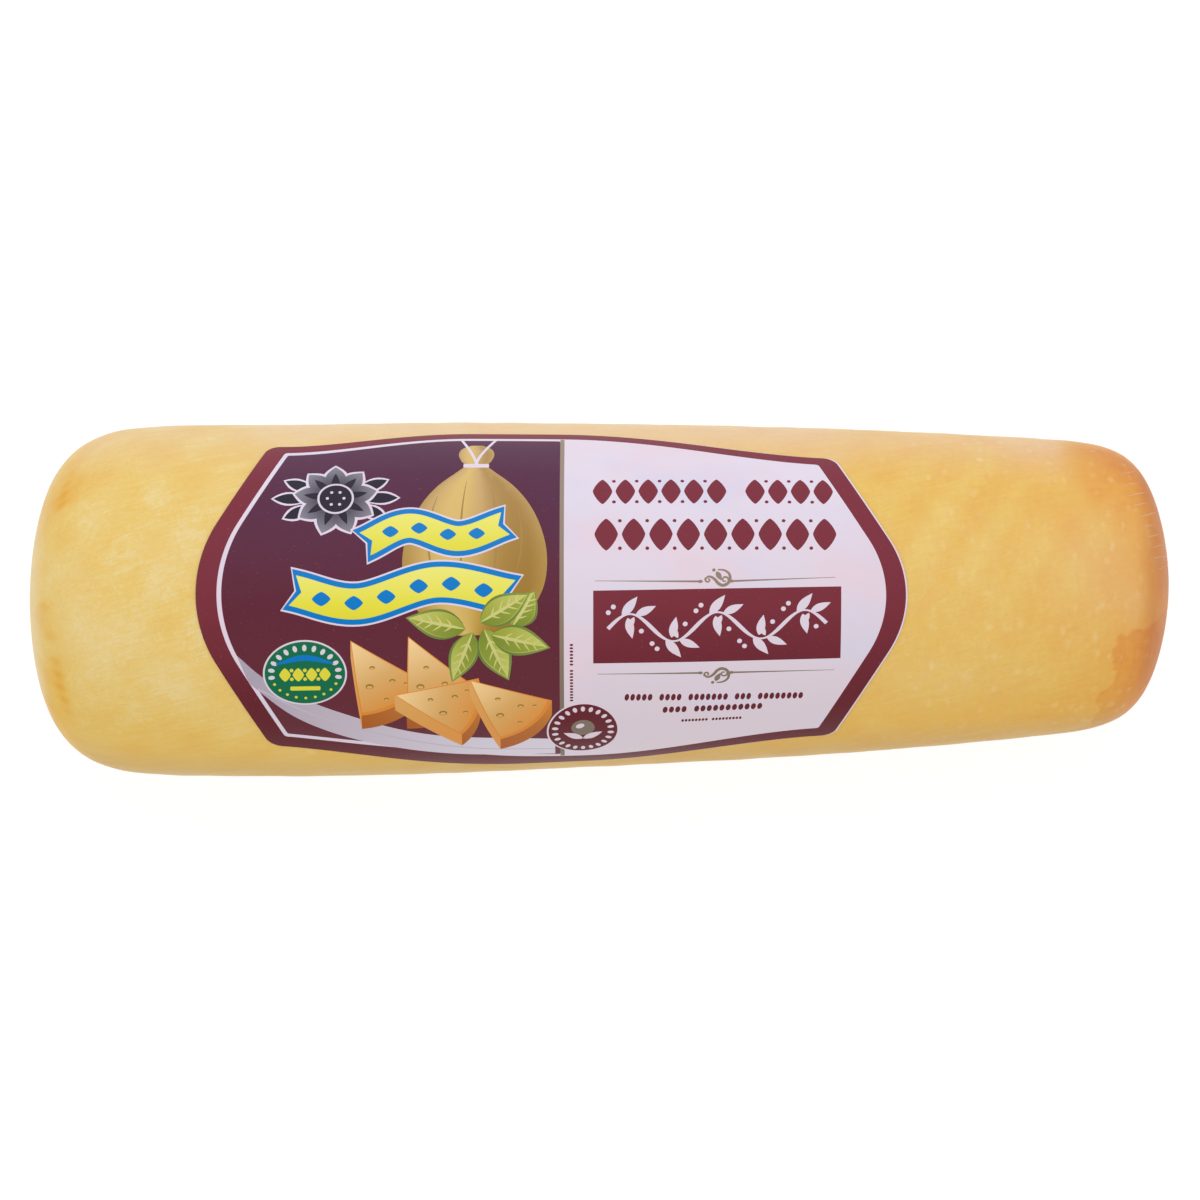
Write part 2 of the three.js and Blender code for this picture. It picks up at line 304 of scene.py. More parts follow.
# ---- The smoked cheese
TWIST = 0.0062  # turn of the stretched curd, radians for each millimetre along the log
FILM_DEPTH = 0.05  # the film's mean depth under the part's own surface
CHEESE_DEPTH = 0.26
FACE_SWELL = 0.5


def off_the_face(x):
    """1 on the barrel and 0 on the flat of the end faces, where waves would crowd together."""
    return smoothstep(body_radius(x) / BARREL_RADIUS, 0.35, 0.9)


def face_swell(x):
    """The end faces stand a little fuller under the film than the part's plain dome."""
    return FACE_SWELL * (1 - smoothstep(body_radius(x) / BARREL_RADIUS, 0.6, 0.97))


def soft_waves(x, a):
    """The slow waves that the film and the rind under it share."""
    return ripples(11, x, a, (30, 80), (1, 6))


def film_height(x, a):
    near_end = np.exp(-np.maximum(0, end_distance(x) - 1) / 9)
    middle = 1 - smoothstep(np.abs(x), 80, 118)
    crease = ripples(12, x, a, (40, 160), (14, 34), count=10, twist=0.002)
    crease = crease * (0.01 + 0.012 * near_end) * (1 - 0.9 * middle)
    return face_swell(x) - FILM_DEPTH + off_the_face(x) * (0.02 * soft_waves(x, a) + crease)


def cheese_height(x, a):
    fibre = ripples(21, x, a, (60, 220), (26, 60), count=12, twist=TWIST)
    dents = ripples(22, x, a, (9, 22), (8, 20), count=16)
    depth = CHEESE_DEPTH - 0.2 * face_swell(x)
    relief = 0.02 * soft_waves(x, a) + 0.022 * fibre + 0.028 * dents
    return face_swell(x) - depth + off_the_face(x) * relief


def ellipse_mask(x, arc, cx, carc, rx, rarc):
    """1 in the middle of a soft ellipse on the unrolled skin, 0 outside it."""
    return np.exp(-(((x - cx) / rx) ** 2 + ((arc - carc) / rarc) ** 2))


def masks(x, arc, spots):
    """Soft ellipses from a table of their places, half widths and gains."""
    return [gain * ellipse_mask(x, arc, *ellipse) for *ellipse, gain in spots]


SMOKE_SPOTS = (  # where the smoke lies deeper: x, arc, half widths and gain
    (-154, 36, 5, 9, 0.12), (-154, -32, 5, 17, 0.05), (-143, 41, 12, 7, 0.06),
    (120, 26, 20, 9, 0.07), (146, 45, 13, 17, 0.22), (147, 62, 10, 12, 0.22),
    (-150, 110, 9, 26, 0.2), (-148, -120, 8, 20, 0.16),
)
PALE_SPOTS = (  # where the curd shows paler
    (-148, 4, 7, 13, 0.8), (-144, -12, 12, 10, 1.0), (-122, -22, 12, 6, 0.4),
    (-104, 34, 15, 10, 0.6), (100, 8, 24, 24, 0.45), (95, -32, 24, 12, 0.5),
    (150, -8, 5, 8, 0.5),
)
RIM_BRUISES = (  # small orange marks in a file near the thick rim: x, arc and strength
    (-150.8, 48, 0.35), (-151.5, 43.4, 0.55), (-152, 39, 0.8), (-152.2, 34.7, 0.7),
    (-147.6, 43.6, 0.3), (-147.8, 39.6, 0.35), (-149, 35.4, 0.3), (-156.3, -2.3, 0.3),
    (-154.9, -13.1, 0.35), (-153.4, -21.8, 0.5), (-152.8, -26.5, 0.6), (-152.5, -31.2, 0.65),
    (-151.5, -35.9, 0.6), (-150.9, -40.8, 0.35), (-154, 80, 0.4), (-154, 86, 0.5),
)
BRUISE_SIZE = (1.8, 1.9)


def cheese_tone(x, a):
    """How deeply the smoke has coloured the rind: 0 is pale curd and 1 is deep orange. The deeper
    tone on the lower flank is painted shade.
    """
    blotch = smoothstep(ripples(32, x, a, (10, 22), (9, 22), count=18), -0.4, 1.5)
    blotch = 0.4 + (blotch - 0.4) * off_the_face(x)
    along = 0.1 + 0.16 * smoothstep(x, -100, 100)
    thin_rim = 0.84 * np.exp(-np.maximum(0, HALF - x) / 15)
    thick_rim = 0.16 * np.exp(-np.maximum(0, HALF + x - 6) / 7) * (0.3 + blotch)
    # sides deepens both flanks; on the lower flank, where a is below zero, it is painted shade
    sides = 0.2 * smoothstep(-a, 0.5, 1.25) + 0.1 * smoothstep(a, 0.45, 1.1)
    sides = sides + (0.15 - sides) * smoothstep(np.abs(a), 1.9, 3.0)
    mottle = ripples(31, x, a, (14, 34), (5, 14), count=18) * off_the_face(x)
    mottle = mottle * (0.028 + 0.025 * smoothstep(x, 60, 110) * smoothstep(a, -0.3, 0.4))
    tone = along + thin_rim + thick_rim + sides + mottle
    return sum(masks(x, a * BARREL_RADIUS, SMOKE_SPOTS), tone)


def flank(a, start, full):
    """1 on a flank, from the angles given in degrees, and fading away under the log."""
    return smoothstep(a, *np.radians((start, full))) * (1 - smoothstep(a, *np.radians((92, 160))))


def side_tones(x, a):
    """Where the sides leave the rind's plain run of colours: a milky painted sheen on the upper
    flank, an amber lower flank that turns darker lower down in painted shade, a pale painted
    highlight round the thick end, painted shade on the thin rim, and the bruises."""
    arc = a * BARREL_RADIUS
    facing = log_normal(np.clip(x, 0.01 - HALF, HALF - 0.01), a)[:, 0]
    barrel = 1 - smoothstep(np.abs(facing), 0.3, 0.8)
    clear = 1 - 0.5 * hump(x, -113, 16) - 0.4 * smoothstep(-x, 116, 140)
    clear = clear - 0.4 * smoothstep(x, 50, 85) + 0.3 * smoothstep(x, 105, 124)
    clear = clear - 0.8 * smoothstep(x, 127, 138)
    milky = 0.1 * ellipse_mask(x, arc, 140, 8, 16, 22)
    golden = 0.5 * ellipse_mask(x, arc, -153.5, -38, 4, 20)
    low_rim = smoothstep(-arc, 8, 26) * (1 - smoothstep(-arc, 60, 90)) * off_the_face(x)
    # painted shade: the thin end's face is darkened, a little unevenly
    painted_thin_end_shade = 0.6 * smoothstep(facing, 0.57, 0.98) * (0.72 + 0.28 * off_the_face(x))
    painted_thin_end_shade = painted_thin_end_shade * (1 - 0.24 * smoothstep(ripples(33, x, a, (12, 30), (2, 7)), 0, 1.6))
    bruises = [(*place, *BRUISE_SIZE, strength) for *place, strength in RIM_BRUISES]
    return {
        "amber": 0.2 * flank(-a, 30, 58) * barrel + golden,
        # painted sheen: the upper flank paler and pinker; the milky spot adds the same colour near
        # the thin end
        "bloom": 0.36 * flank(a, 37, 72) * clear * barrel + milky,
        # painted shade: the lower flank duller and darker
        "painted_lower_shade": 0.44 * flank(-a, 51, 80) * barrel,
        # painted highlight: the thick end's face paler, more so low down
        "painted_end_highlight": (0.34 + 0.3 * low_rim) * smoothstep(-facing, 0.84, 0.99),
        # the thin end's painted shade, with a deeper spot added on its upper flank
        "painted_thin_end_shade": painted_thin_end_shade + 0.15 * smoothstep(x, 129, 136) * hump(arc, 62, 14),
        "bruise": np.minimum(1.3 * sum(masks(x, arc, bruises)), 0.85),
    }


# Of these, the pale pink is a painted sheen, the pale cream a painted highlight, and the dull tan
# and the deep orange are painted shade.
SIDE_COLOURS = {
    "amber": (234, 188, 60),
    "bloom": (234, 216, 214),
    "painted_lower_shade": (184, 158, 108),
    "painted_end_highlight": (244, 230, 194),
    "painted_thin_end_shade": (178, 78, 16),
    "bruise": (232, 166, 44),
}


def smoke_patch(x, a):
    """Millimetres inside the crisp darker patch low on the thin end, negative outside it."""
    arc = a * BARREL_RADIUS
    wave = 0.45 * np.sin(arc / 3.1) + 0.3 * np.sin(arc / 1.7 + 1)
    step = 3.2 * smoothstep(-arc, 38, 42)
    near = x - (144.5 - step + wave + 3.5 * smoothstep(-arc, 60, 90))
    above = -arc - 18 + 1.4 * wave
    below = arc + 96
    return np.minimum(np.minimum(near, 0.5 * above), below)


def wrapped(a):
    return (a + math.pi) % (2 * math.pi) - math.pi


RIND = (  # from pale curd to the deepest smoke
    (0.0, (237, 213, 152)), (0.1, (236, 204, 122)), (0.2, (235, 197, 108)),
    (0.32, (234, 189, 98)), (0.46, (233, 180, 90)), (0.6, (232, 172, 83)),
    (0.76, (230, 163, 75)), (0.9, (227, 154, 68)), (1.0, (221, 145, 64)),
)
RIND_NOISES = {  # scale, detail, roughness, share in the tone, and the mask it keeps to
    "clouds": (45, 4.0, 0.55, 0.12, None),
    "mottle": (210, 4.0, 0.62, 0.19, None),
    "fibres": ((45, 380, 380), 3.0, 0.65, 0.26, "streaked"),
    "threads": ((190, 1400, 1400), 2.0, 0.6, 0.24, None),
    "felt": (620, 3.0, 0.7, 0.2, None),
    "knit": ((420, 190, 190), 3.0, 0.65, 0.26, "spotted"),
    "grain": (2200, 2.0, 0.6, 0.26, None),
}
ALONG_THE_CURD = ("fibres", "threads")  # these noises follow the stretched curd


def pale_spots(shader, spot, across, keep, reach):
    """Small curd grains, longer round the log than along it, in a share of the cells."""
    cells = shader.put("TexVoronoi", inputs={"Vector": shader.stretched(spot, across), "Scale": 1})
    chosen = shader.band(cells.node.outputs["Color"], keep, keep + 0.08)
    return shader.times(shader.band(cells, 0.08, reach, 1.0, 0.0), chosen)


def cheese_material():
    shader = Shader(
        "smoked_provolone_rind", Roughness=0.46, Specular_IOR_Level=0.04,
        Coat_Weight=0.1, Coat_Roughness=0.18, Coat_IOR=1.3,
        Subsurface_Weight=0.12, Subsurface_Radius=(1.0, 0.6, 0.25), Subsurface_Scale=0.0025,
    )
    spot = shader.place()
    curd = shader.attribute("curd", vector=True)
    noises, tones = {}, [shader.attribute("tone")]
    for name, (scale, detail, roughness, gain, mask) in RIND_NOISES.items():
        vector = curd if name in ALONG_THE_CURD else spot
        noises[name] = shader.noise(vector, scale, detail, roughness)
        limits = [shader.attribute(mask)] if mask else []
        tones.append(shader.times(shader.scaled(noises[name], gain), *limits))
    mottle = noises["mottle"]
    edge = shader.total(shader.attribute("patch"), shader.scaled(mottle, 5.0))
    tone = shader.total(*tones, shader.band(edge, -0.3, 0.5, 0.0, 0.3))
    pale = shader.times(shader.attribute("pale"), shader.band(mottle, 0.2, 0.8))
    rind = shader.tinted(shader.ramp(tone, RIND), (238, 219, 168), pale, 0.5)
    pushed = shader.noise(spot, 700).node.outputs["Color"]
    bent = shader.put("Mix", output=1, data_type="VECTOR", inputs={0: 0.002, 4: spot, 5: pushed})
    dull = pale_spots(shader, bent, (330, 215, 215), 0.42, 0.5)
    dull = shader.times(dull, shader.band(mottle, 0.42, 0.56), shader.attribute("spotted"))
    rind = shader.tinted(rind, (243, 214, 156), dull, 0.32)
    flecks = pale_spots(shader, bent, (210, 170, 170), 0.8, 0.3)
    rind = shader.tinted(rind, (244, 222, 176), flecks, shader.attribute("flecked"), 0.34)
    for name, colour in SIDE_COLOURS.items():
        rind = shader.tinted(rind, colour, shader.attribute(name))
    gloss = shader.band(noises["clouds"], 0.2, 0.8, 0.38, 0.54)
    shader.drive(Base_Color=rind, Roughness=gloss)
    fine = (shader.scaled(mottle, 0.8), shader.scaled(noises["threads"], 0.4))
    shader.bump(shader.total(noises["fibres"], *fine, dull), 0.00008, 0.6)
    return shader.material


def build_cheese():
    points, faces, x, a = skin(cheese_height)
    slot = "smoked_cheese"
    piece = new_piece("provolone_log", points, faces, cheese_material(), slot, ["cheese_log"])
    a = wrapped(a)
    turned = a - TWIST * x
    radius = body_radius(x) * MM
    spread = ripples(41, x, a, (16, 50), (4, 12), count=16) * off_the_face(x)
    pale = 0.4 * smoothstep(spread, 0.0, 1.8) * (1 - smoothstep(x, 60, 120))
    fields = {
        "curd": np.stack([x * MM, radius * np.sin(turned), radius * np.cos(turned)], -1),
        "tone": cheese_tone(x, a),
        "patch": smoke_patch(x, a),
        "pale": np.maximum.reduce([pale, *masks(x, a * BARREL_RADIUS, PALE_SPOTS)]),
        **side_tones(x, a),
        "streaked": 0.3 + 0.7 * smoothstep(np.abs(a), 0.3, 0.8),
        "spotted": smoothstep(x, 40, 105) * (1 - 0.5 * smoothstep(x, 140, 158)),
        "flecked": 1 - 0.8 * smoothstep(np.abs(x), 130, 150),
    }
    for name, values in fields.items():
        store(piece, name, values)


# ---- The film
CLEAR_TINTS = ((250, 238, 222), (255, 250, 244))
FOLD_TINTS = ((255, 224, 190), (255, 234, 208))


def film_material(name, clear, painted_glare, tints=CLEAR_TINTS, soft_edge=None, **gloss):
    """Clear film: nearly nothing face on, and a pale veil, a painted glare, where it is seen along
    its face. Its attribute soft_edge, where it has one, fades it out."""
    shader = Shader(name, **{"Roughness": 0.2, "Coat_Weight": 0.3, **gloss})
    folds = shader.noise(shader.place(), (70, 220, 220), 3.0, 0.6)
    facing = shader.put("LayerWeight", output=1, inputs={"Blend": 0.32})
    uneven = shader.band(folds, 0.25, 0.75, 0.75, 1.2)
    # painted glare: the film whiter and less clear where it is seen along its face
    veil = shader.times(shader.math("POWER", facing, 4.0), painted_glare, uneven)
    veil = shader.math("ADD", veil, clear, clamp=True)
    if soft_edge:
        veil = shader.times(veil, shader.attribute(soft_edge))
    shader.drive(Base_Color=shader.mix(folds, *(srgb(*tint) for tint in tints)), Alpha=veil)
    shader.bump(folds, 0.00015, 0.5)
    return shader.material


def build_film():
    points, faces, _, _ = skin(film_height)
    material = film_material("clear_shrink_film", 0.012, 0.02)
    new_piece("shrink_film", points, faces, material, "shrink_film", ["cheese_log"])


PLEAT = {"stations": 14, "half_width": 0.26, "height": 0.06, "sunk": 0.03}
SLANTED = {"count": 10, "x": 146.8, "y": 35.4, "x_step": 1.1, "y_step": -2.95}
FOLD_FANS = ((146, 154, 98, 284), (-156, -150, 102, 262))  # two bounds of x, two in degrees
FAN_STEP = 6.5


def pleat_routes():
    """The slanting folds across the thin rim's upper side, then a fan of them round the rest
    of each rim."""
    rng = np.random.default_rng(57)
    t = np.linspace(0, 1, PLEAT["stations"])
    for k in range(SLANTED["count"]):
        x0 = SLANTED["x"] + SLANTED["x_step"] * k + rng.uniform(-0.8, 0.8)
        y0 = SLANTED["y"] + SLANTED["y_step"] * k
        x = np.minimum(x0 + rng.uniform(5.2, 7.6) * t, HALF - 0.3 * (2 - t))
        y = y0 + rng.uniform(0.15, 0.26) * (x - x0)
        across = (y - centre_y(x)) / body_radius(x)
        yield x, np.arcsin(np.clip(across, -0.97, 0.97))
    for start, end, first, last in FOLD_FANS:
        for angle in np.arange(first, last, FAN_STEP):
            x = rng.uniform(start, end) + rng.uniform(3.5, 6) * t * math.copysign(1, start)
            yield x, np.radians(angle + rng.uniform(-2, 2) + 10 * t)


def pleat_ridge(x, a):
    """One thin fold of film along a route: a closed ridge that tapers to both ends."""
    normal = log_normal(x, a)
    path = log_point(x, a) + normal * (film_height(x, a) - PLEAT["sunk"])[:, None]
    swell = np.sin(math.pi * (0.03 + 0.94 * np.linspace(0, 1, len(x))))[:, None]
    side = unit(np.cross(normal, np.gradient(path, axis=0))) * PLEAT["half_width"] * swell
    crest = path + normal * PLEAT["height"] * swell
    points = np.stack([path - side, crest, path + side], 1).reshape(-1, 3)
    last = len(points) - 1
    faces = [[0, 1, 2], [last, last - 1, last - 2]]
    for k in range(0, last - 2, 3):
        faces += [[k + p, k + 3 + p, k + 3 + q, k + q] for p, q in ((0, 1), (1, 2), (2, 0))]
    lit = unit(normal + (0, 0, 1.0))  # a fold's crest catches the light from above
    return points, faces, np.repeat(lit, 3, axis=0)


def build_pleats():
    """Fine folds over both rims, where the film has shrunk in round the ends."""
    points, faces, normals = [], [], []
    for route in pleat_routes():
        ridge, ridge_faces, ridge_normals = pleat_ridge(*route)
        faces += [[i + len(points) for i in face] for face in ridge_faces]
        points += ridge.tolist()
        normals += ridge_normals.tolist()
    dull = {"Roughness": 0.6, "Coat_Weight": 0.0, "Specular_IOR_Level": 0.02}
    material = film_material("folded_film", 0.36, 0.0, FOLD_TINTS, "crest", **dull)
    piece = new_piece("film_pleats", points, faces, material, "shrink_film", (), normals)
    piece.visible_shadow = False
    store(piece, "crest", np.tile([0, 1, 0], len(points) // 3))


# ---- The welded seams
SEAL = {"length": 58, "width": 4.4, "thickness": 0.36, "gap": 0.52, "drop": 2.4, "wave": 0.7}
SEAL_COLUMNS, SEAL_ROWS = 233, 17
PINKING = {"depth": 0.28, "pitch": 1.1}
CRIMP = {"height": 0.1, "pitch": 1.7}


def dome_surface(end, y, z):
    """A point of the dome's face, y and z counted from the middle of its tip."""
    tip = end["side"] * HALF
    share = np.hypot(y, z / SECTION_SQUASH) / barrel_radius(tip)
    share = np.clip(share, 1e-6, 0.999)
    x = tip - end["side"] * dome_distance(end, share)
    return np.stack([x, y + centre_y(tip), z + SAG * barrel_radius(tip)], -1)


def build_seal(end, name, node, material):
    """A crimped ribbon of doubled film, laid on the dome, with a pinked outer edge."""
    u, v = np.meshgrid(np.linspace(-1, 1, SEAL_COLUMNS), np.linspace(-1, 1, SEAL_ROWS))
    y = u * SEAL["length"] / 2
    pinked = PINKING["depth"] * np.abs(((y / PINKING["pitch"]) % 1) - 0.5) * 2
    reach = SEAL["width"] / 2 - pinked * (v > 0.9)
    z = -SEAL["drop"] + SEAL["wave"] * np.sin(y / 6) + v * reach
    base = dome_surface(end, y, z)
    along = dome_surface(end, y + NUDGE, z) - dome_surface(end, y - NUDGE, z)
    across = dome_surface(end, y, z + NUDGE) - dome_surface(end, y, z - NUDGE)
    normal = unit(np.cross(along, across) * end["side"])
    crimp = CRIMP["height"] * np.sin(2 * math.pi * y / CRIMP["pitch"]) * (1 - v**4)
    edge = np.clip((1 - np.maximum(np.abs(u) ** 12, np.abs(v) ** 6)), 0, 1) ** 0.5
    middle = SEAL["gap"] + SEAL["thickness"] / 2
    half = 0.05 + (SEAL["thickness"] / 2 - 0.08) * edge
    outer = base + normal * (middle + half + crimp * edge)[..., None]
    inner = base + normal * (middle - half)[..., None]
    far = u.size
    ids = np.arange(far).reshape(u.shape)
    cells = np.stack([ids[:-1, :-1], ids[:-1, 1:], ids[1:, 1:], ids[1:, :-1]], -1).reshape(-1, 4)
    loop = np.concatenate([ids[0, :-1], ids[:-1, -1], ids[-1, :0:-1], ids[:0:-1, 0]])
    rim = [[q, p, p + far, q + far] for p, q in zip(loop, np.roll(loop, -1))]
    faces = cells.tolist() + (cells[:, ::-1] + far).tolist() + rim
    if end["side"] < 0:
        faces = [face[::-1] for face in faces]
    points = np.vstack([outer.reshape(-1, 3), inner.reshape(-1, 3)])
    new_piece(name, points, faces, material, "shrink_film", [node])


# ---- The print's chart
# The print is drawn unrolled: x in millimetres and the angle round the log in degrees.
LABEL_LEFT = {"apex_x": -112.8, "slope": 0.6, "radius": 38, "apex_y": 1.8}
LABEL_RIGHT = {"apex_x": 84.8, "slope": 0.59, "radius": 34, "apex_y": -1.8}
TOP_EDGE = {"left": 58, "middle": 66, "right": 52.3}
BOTTOM_EDGE = {"left": -52.8, "middle": -70.6, "right": -59.8}
BORDER_WIDTH = {"left": 5.8, "right": 5.6, "top": 3.8, "bottom": 5.2}
KEYLINE_WIDTH = {"left": 1.3, "right": 1.3, "top": 1.4, "bottom": 1.4}
LABEL_CORNER = 3
LABEL_SPAN = {"along": 160, "around": 100}
OUTLINE_TICKS = {"along": 90, "around": 70, "corner": 6}
FITTING_ROUNDS = 12  # of the outline's x and angle to one another
DIVIDER = (-11.95, -10.75)
NAME_BAND = ((-2.6, -22.2), (66.6, -23.5), (66.6, 1.5), (-2.6, 1.5))
LEFT_OVAL = (-82.8, -23.8, 11.7, 11.2)  # x, angle and half widths, in millimetres and degrees
MIDDLE_OVAL = (-5.5, -49.2, 10.2, 12.5)
VINE = {"left": 1.5, "right": 62.5, "angle": -10.8, "height": 4.6, "waves": 5}
DEGREE = BARREL_RADIUS * math.pi / 180  # millimetres of arc for each degree
LONGEST_EDGE = 2.0


def side_x(side, y, direction):
    lean = math.atan(side["slope"])
    reach = side["radius"] * math.sin(lean)
    across = np.abs(y - side["apex_y"])
    arc = side["radius"] - np.sqrt(np.maximum(0, side["radius"] ** 2 - across**2))
    line = side["radius"] * (1 - math.cos(lean)) + (across - reach) * side["slope"]
    return side["apex_x"] - direction * np.where(across <= reach, arc, line)


def top_angle(x):
    rise = (TOP_EDGE["middle"] - TOP_EDGE["left"]) * smoothstep(x, -88, -38)
    fall = (TOP_EDGE["middle"] - TOP_EDGE["right"]) * smoothstep(x, -10, 66)
    return TOP_EDGE["left"] + rise - fall


def bottom_angle(x):
    drop = (BOTTOM_EDGE["middle"] - BOTTOM_EDGE["left"]) * smoothstep(x, -100, -22)
    lift = (BOTTOM_EDGE["right"] - BOTTOM_EDGE["middle"]) * smoothstep(x, -4, 60)
    return BOTTOM_EDGE["left"] + drop + lift


def widening(x):
    """How much wider the border is along the label's lower edge, under the picture."""
    return 1 + 0.65 * hump(x, -42, 24)


def rounded(square, corner):
    """Points round the unit square, with its corners pulled in to rounds."""
    away = square - 0.5
    share = np.clip(np.abs(away) - (0.5 - corner), 0, corner) / corner
    pulled = 0.5 - corner + corner * share * np.sqrt(1 - share[::-1] ** 2 / 2)
    return np.where((share > 0).all(0), 0.5 + np.sign(away) * pulled, square)


def label_outline(inset, corner=LABEL_CORNER, right=None):
    """The label's hexagon pulled in on each side, once round. It ends at right, if given."""
    cu, cv = corner / LABEL_SPAN["along"], corner / LABEL_SPAN["around"]

    def ticks(cells, c):
        near = np.linspace(0, c, OUTLINE_TICKS["corner"])[:-1]
        return np.concatenate([near, np.linspace(c, 1 - c, cells), 1 - near[::-1]])

    along, around = ticks(OUTLINE_TICKS["along"], cu), ticks(OUTLINE_TICKS["around"], cv)
    u = np.concatenate([along[:-1], 1 + 0 * around[:-1], along[:0:-1], 0 * around[:-1]])
    v = np.concatenate([0 * along[:-1], around[:-1], 1 + 0 * along[:-1], around[:0:-1]])
    u, v = rounded(np.stack([u, v]), np.array([[cu], [cv]]))
    x, angle = np.zeros_like(u), np.zeros_like(u)
    for _ in range(FITTING_ROUNDS):
        low = bottom_angle(x) + inset["bottom"] * widening(x)
        high = top_angle(x) - inset["top"]
        angle = low + (high - low) * v
        y = BARREL_RADIUS * np.sin(np.radians(angle))
        near = side_x(LABEL_LEFT, y, -1) + inset["left"]
        far = side_x(LABEL_RIGHT, y, 1) - inset["right"] if right is None else right
        x = near + (far - near) * u
    return np.stack([x, angle], -1)


def summed(*insets):
    return {key: sum(inset[key] for inset in insets) for key in insets[0]}


NO_INSET = {"left": 0, "right": 0, "top": 0, "bottom": 0}


class Print:
    """The print as flat shapes, each later one on top. Every shape names its piece."""

    def __init__(self):
        self.shapes = []

    def add(self, piece, outline, tint=0.5):
        """The outline is kept turning left, whichever way it was drawn, and its long edges are
        split so that they bend round the log. The tint, a number or tint(x, arc), runs from 0,
        shaded, to 1, lit."""
        outline = np.asarray(outline, float)
        x, angle = outline.T
        area = np.sum(x * np.roll(angle, -1) - np.roll(x, -1) * angle)
        outline = outline if area > 0 else outline[::-1]
        dense = []
        for start, end in zip(outline, np.roll(outline, -1, axis=0)):
            pieces = max(1, math.ceil(np.hypot(*((end - start) * (1, DEGREE))) / LONGEST_EDGE))
            dense.append(start + (end - start) * np.arange(pieces)[:, None] / pieces)
        self.shapes.append((piece, np.vstack(dense), tint))

    def ellipse(self, piece, x, angle, rx, ry, lean=0.0, steps=12, power=1.0):
        """rx and ry in millimetres of the unrolled skin, lean in degrees."""
        t = np.linspace(0, 2 * math.pi, steps, endpoint=False)
        c, s = np.cos(t), np.sin(t)
        px, py = rx * np.sign(c) * np.abs(c) ** power, ry * np.sign(s) * np.abs(s) ** power
        self.add(piece, turned_shape(px, py, x, angle, lean))

    def leaf(self, piece, x, angle, length, width, lean, tint=0.5, belly=0.42, lower=1.0):
        """A pointed leaf from its stalk at (x, angle). lower thins its lower half."""
        t = np.linspace(0, 1, 14)
        half = width / 2 * np.sin(math.pi * t ** (math.log(0.5) / math.log(belly)))
        px = np.concatenate([t * length, t[-2:0:-1] * length])
        py = np.concatenate([half, -half[-2:0:-1] * lower])
        self.add(piece, turned_shape(px, py, x, angle, lean), tint)

    def stroke(self, piece, path, widths):
        """A line of changing width along a path of (x, angle)."""
        line = np.asarray(path, float) * (1, DEGREE)
        _, side = sideways(line, widths)
        self.add(piece, np.vstack([line + side, (line - side)[::-1]]) / (1, DEGREE))

    def bar(self, piece, x0, x1, angle, height):
        """A bar along the log with rounded corners, height in millimetres."""
        half, tall, r = (x1 - x0) / 2, height / 2, height / 4
        corners = []
        for quarter, (sx, sy) in enumerate(((1, 1), (-1, 1), (-1, -1), (1, -1))):
            turn = np.linspace(0, math.pi / 2, 4) + quarter * math.pi / 2
            px, py = sx * (half - r) + r * np.cos(turn), sy * (tall - r) + r * np.sin(turn)
            corners.append(turned_shape(px, py, (x0 + x1) / 2, angle, 0))
        self.add(piece, np.vstack(corners))


def sideways(line, widths):
    """Unit steps along a line, and half its widths to the left of each."""
    step = unit(np.gradient(line, axis=0))
    return step, np.stack([-step[:, 1], step[:, 0]], -1) * np.reshape(widths, (-1, 1)) / 2


def turned_shape(px, py, x, angle, lean):
    """Millimetres from (x, angle), turned by lean in degrees, as places of the chart."""
    c, s = math.cos(math.radians(lean)), math.sin(math.radians(lean))
    return np.stack([x + px * c - py * s, angle + (px * s + py * c) / DEGREE], -1)


def fade(start, end, first, last):
    """A tint that runs from first at one place of the chart to last at another."""
    (x0, angle0), (x1, angle1) = start, end
    ux, uy = x1 - x0, (angle1 - angle0) * DEGREE

    def tint(x, arc):
        t = ((x - x0) * ux + (arc - angle0 * DEGREE) * uy) / (ux * ux + uy * uy)
        return first + (last - first) * np.clip(t, 0, 1)

    return tint


def spiral(x, angle, start_radius, end_radius, start_turn, end_turn):
    t = np.linspace(0, 1, 36)
    radius = start_radius + (end_radius - start_radius) * t**0.8
    turn = np.radians(start_turn + (end_turn - start_turn) * t)
    return turned_shape(radius * np.cos(turn), radius * np.sin(turn), x, angle, 0)


def curve_through(points, steps):
    """A smooth path through a few points."""
    points = np.asarray(points, float)
    padded = np.vstack([2 * points[0] - points[1], points, 2 * points[-1] - points[-2]])
    path = []
    t = np.linspace(0, 1, steps // (len(points) - 1) + 1, endpoint=False)[:, None]
    for k in range(1, len(padded) - 2):
        p0, p1, p2, p3 = padded[k - 1 : k + 3]
        bend, twist = 2 * p0 - 5 * p1 + 4 * p2 - p3, 3 * p1 - p0 - 3 * p2 + p3
        path.append(0.5 * (2 * p1 + (p2 - p0) * t + bend * t**2 + twist * t**3))
    return np.vstack([*path, points[-1:]])


# ---- The print's drawing
PRINT_SLIP = 0.45  # how far the pale ground slipped from under the border
FIELD_CORNER = 0.8


def draw_ground(art):
    whole = label_outline(NO_INSET)
    art.add("text_field_print", whole + (PRINT_SLIP, 0))
    art.add("label_border_print", whole)
    art.add("text_field_print", label_outline(BORDER_WIDTH, FIELD_CORNER))
    field = summed(BORDER_WIDTH, KEYLINE_WIDTH)
    art.add("picture_field_print", label_outline(field, FIELD_CORNER, right=DIVIDER[0]))
    x = np.array(DIVIDER)
    low = bottom_angle(x) + BORDER_WIDTH["bottom"] * widening(x) + 0.3
    high = top_angle(x) - BORDER_WIDTH["top"] - 0.3
    art.add("gold_lines", np.stack([[*x, *x[::-1]], [*low, *high[::-1]]], -1))


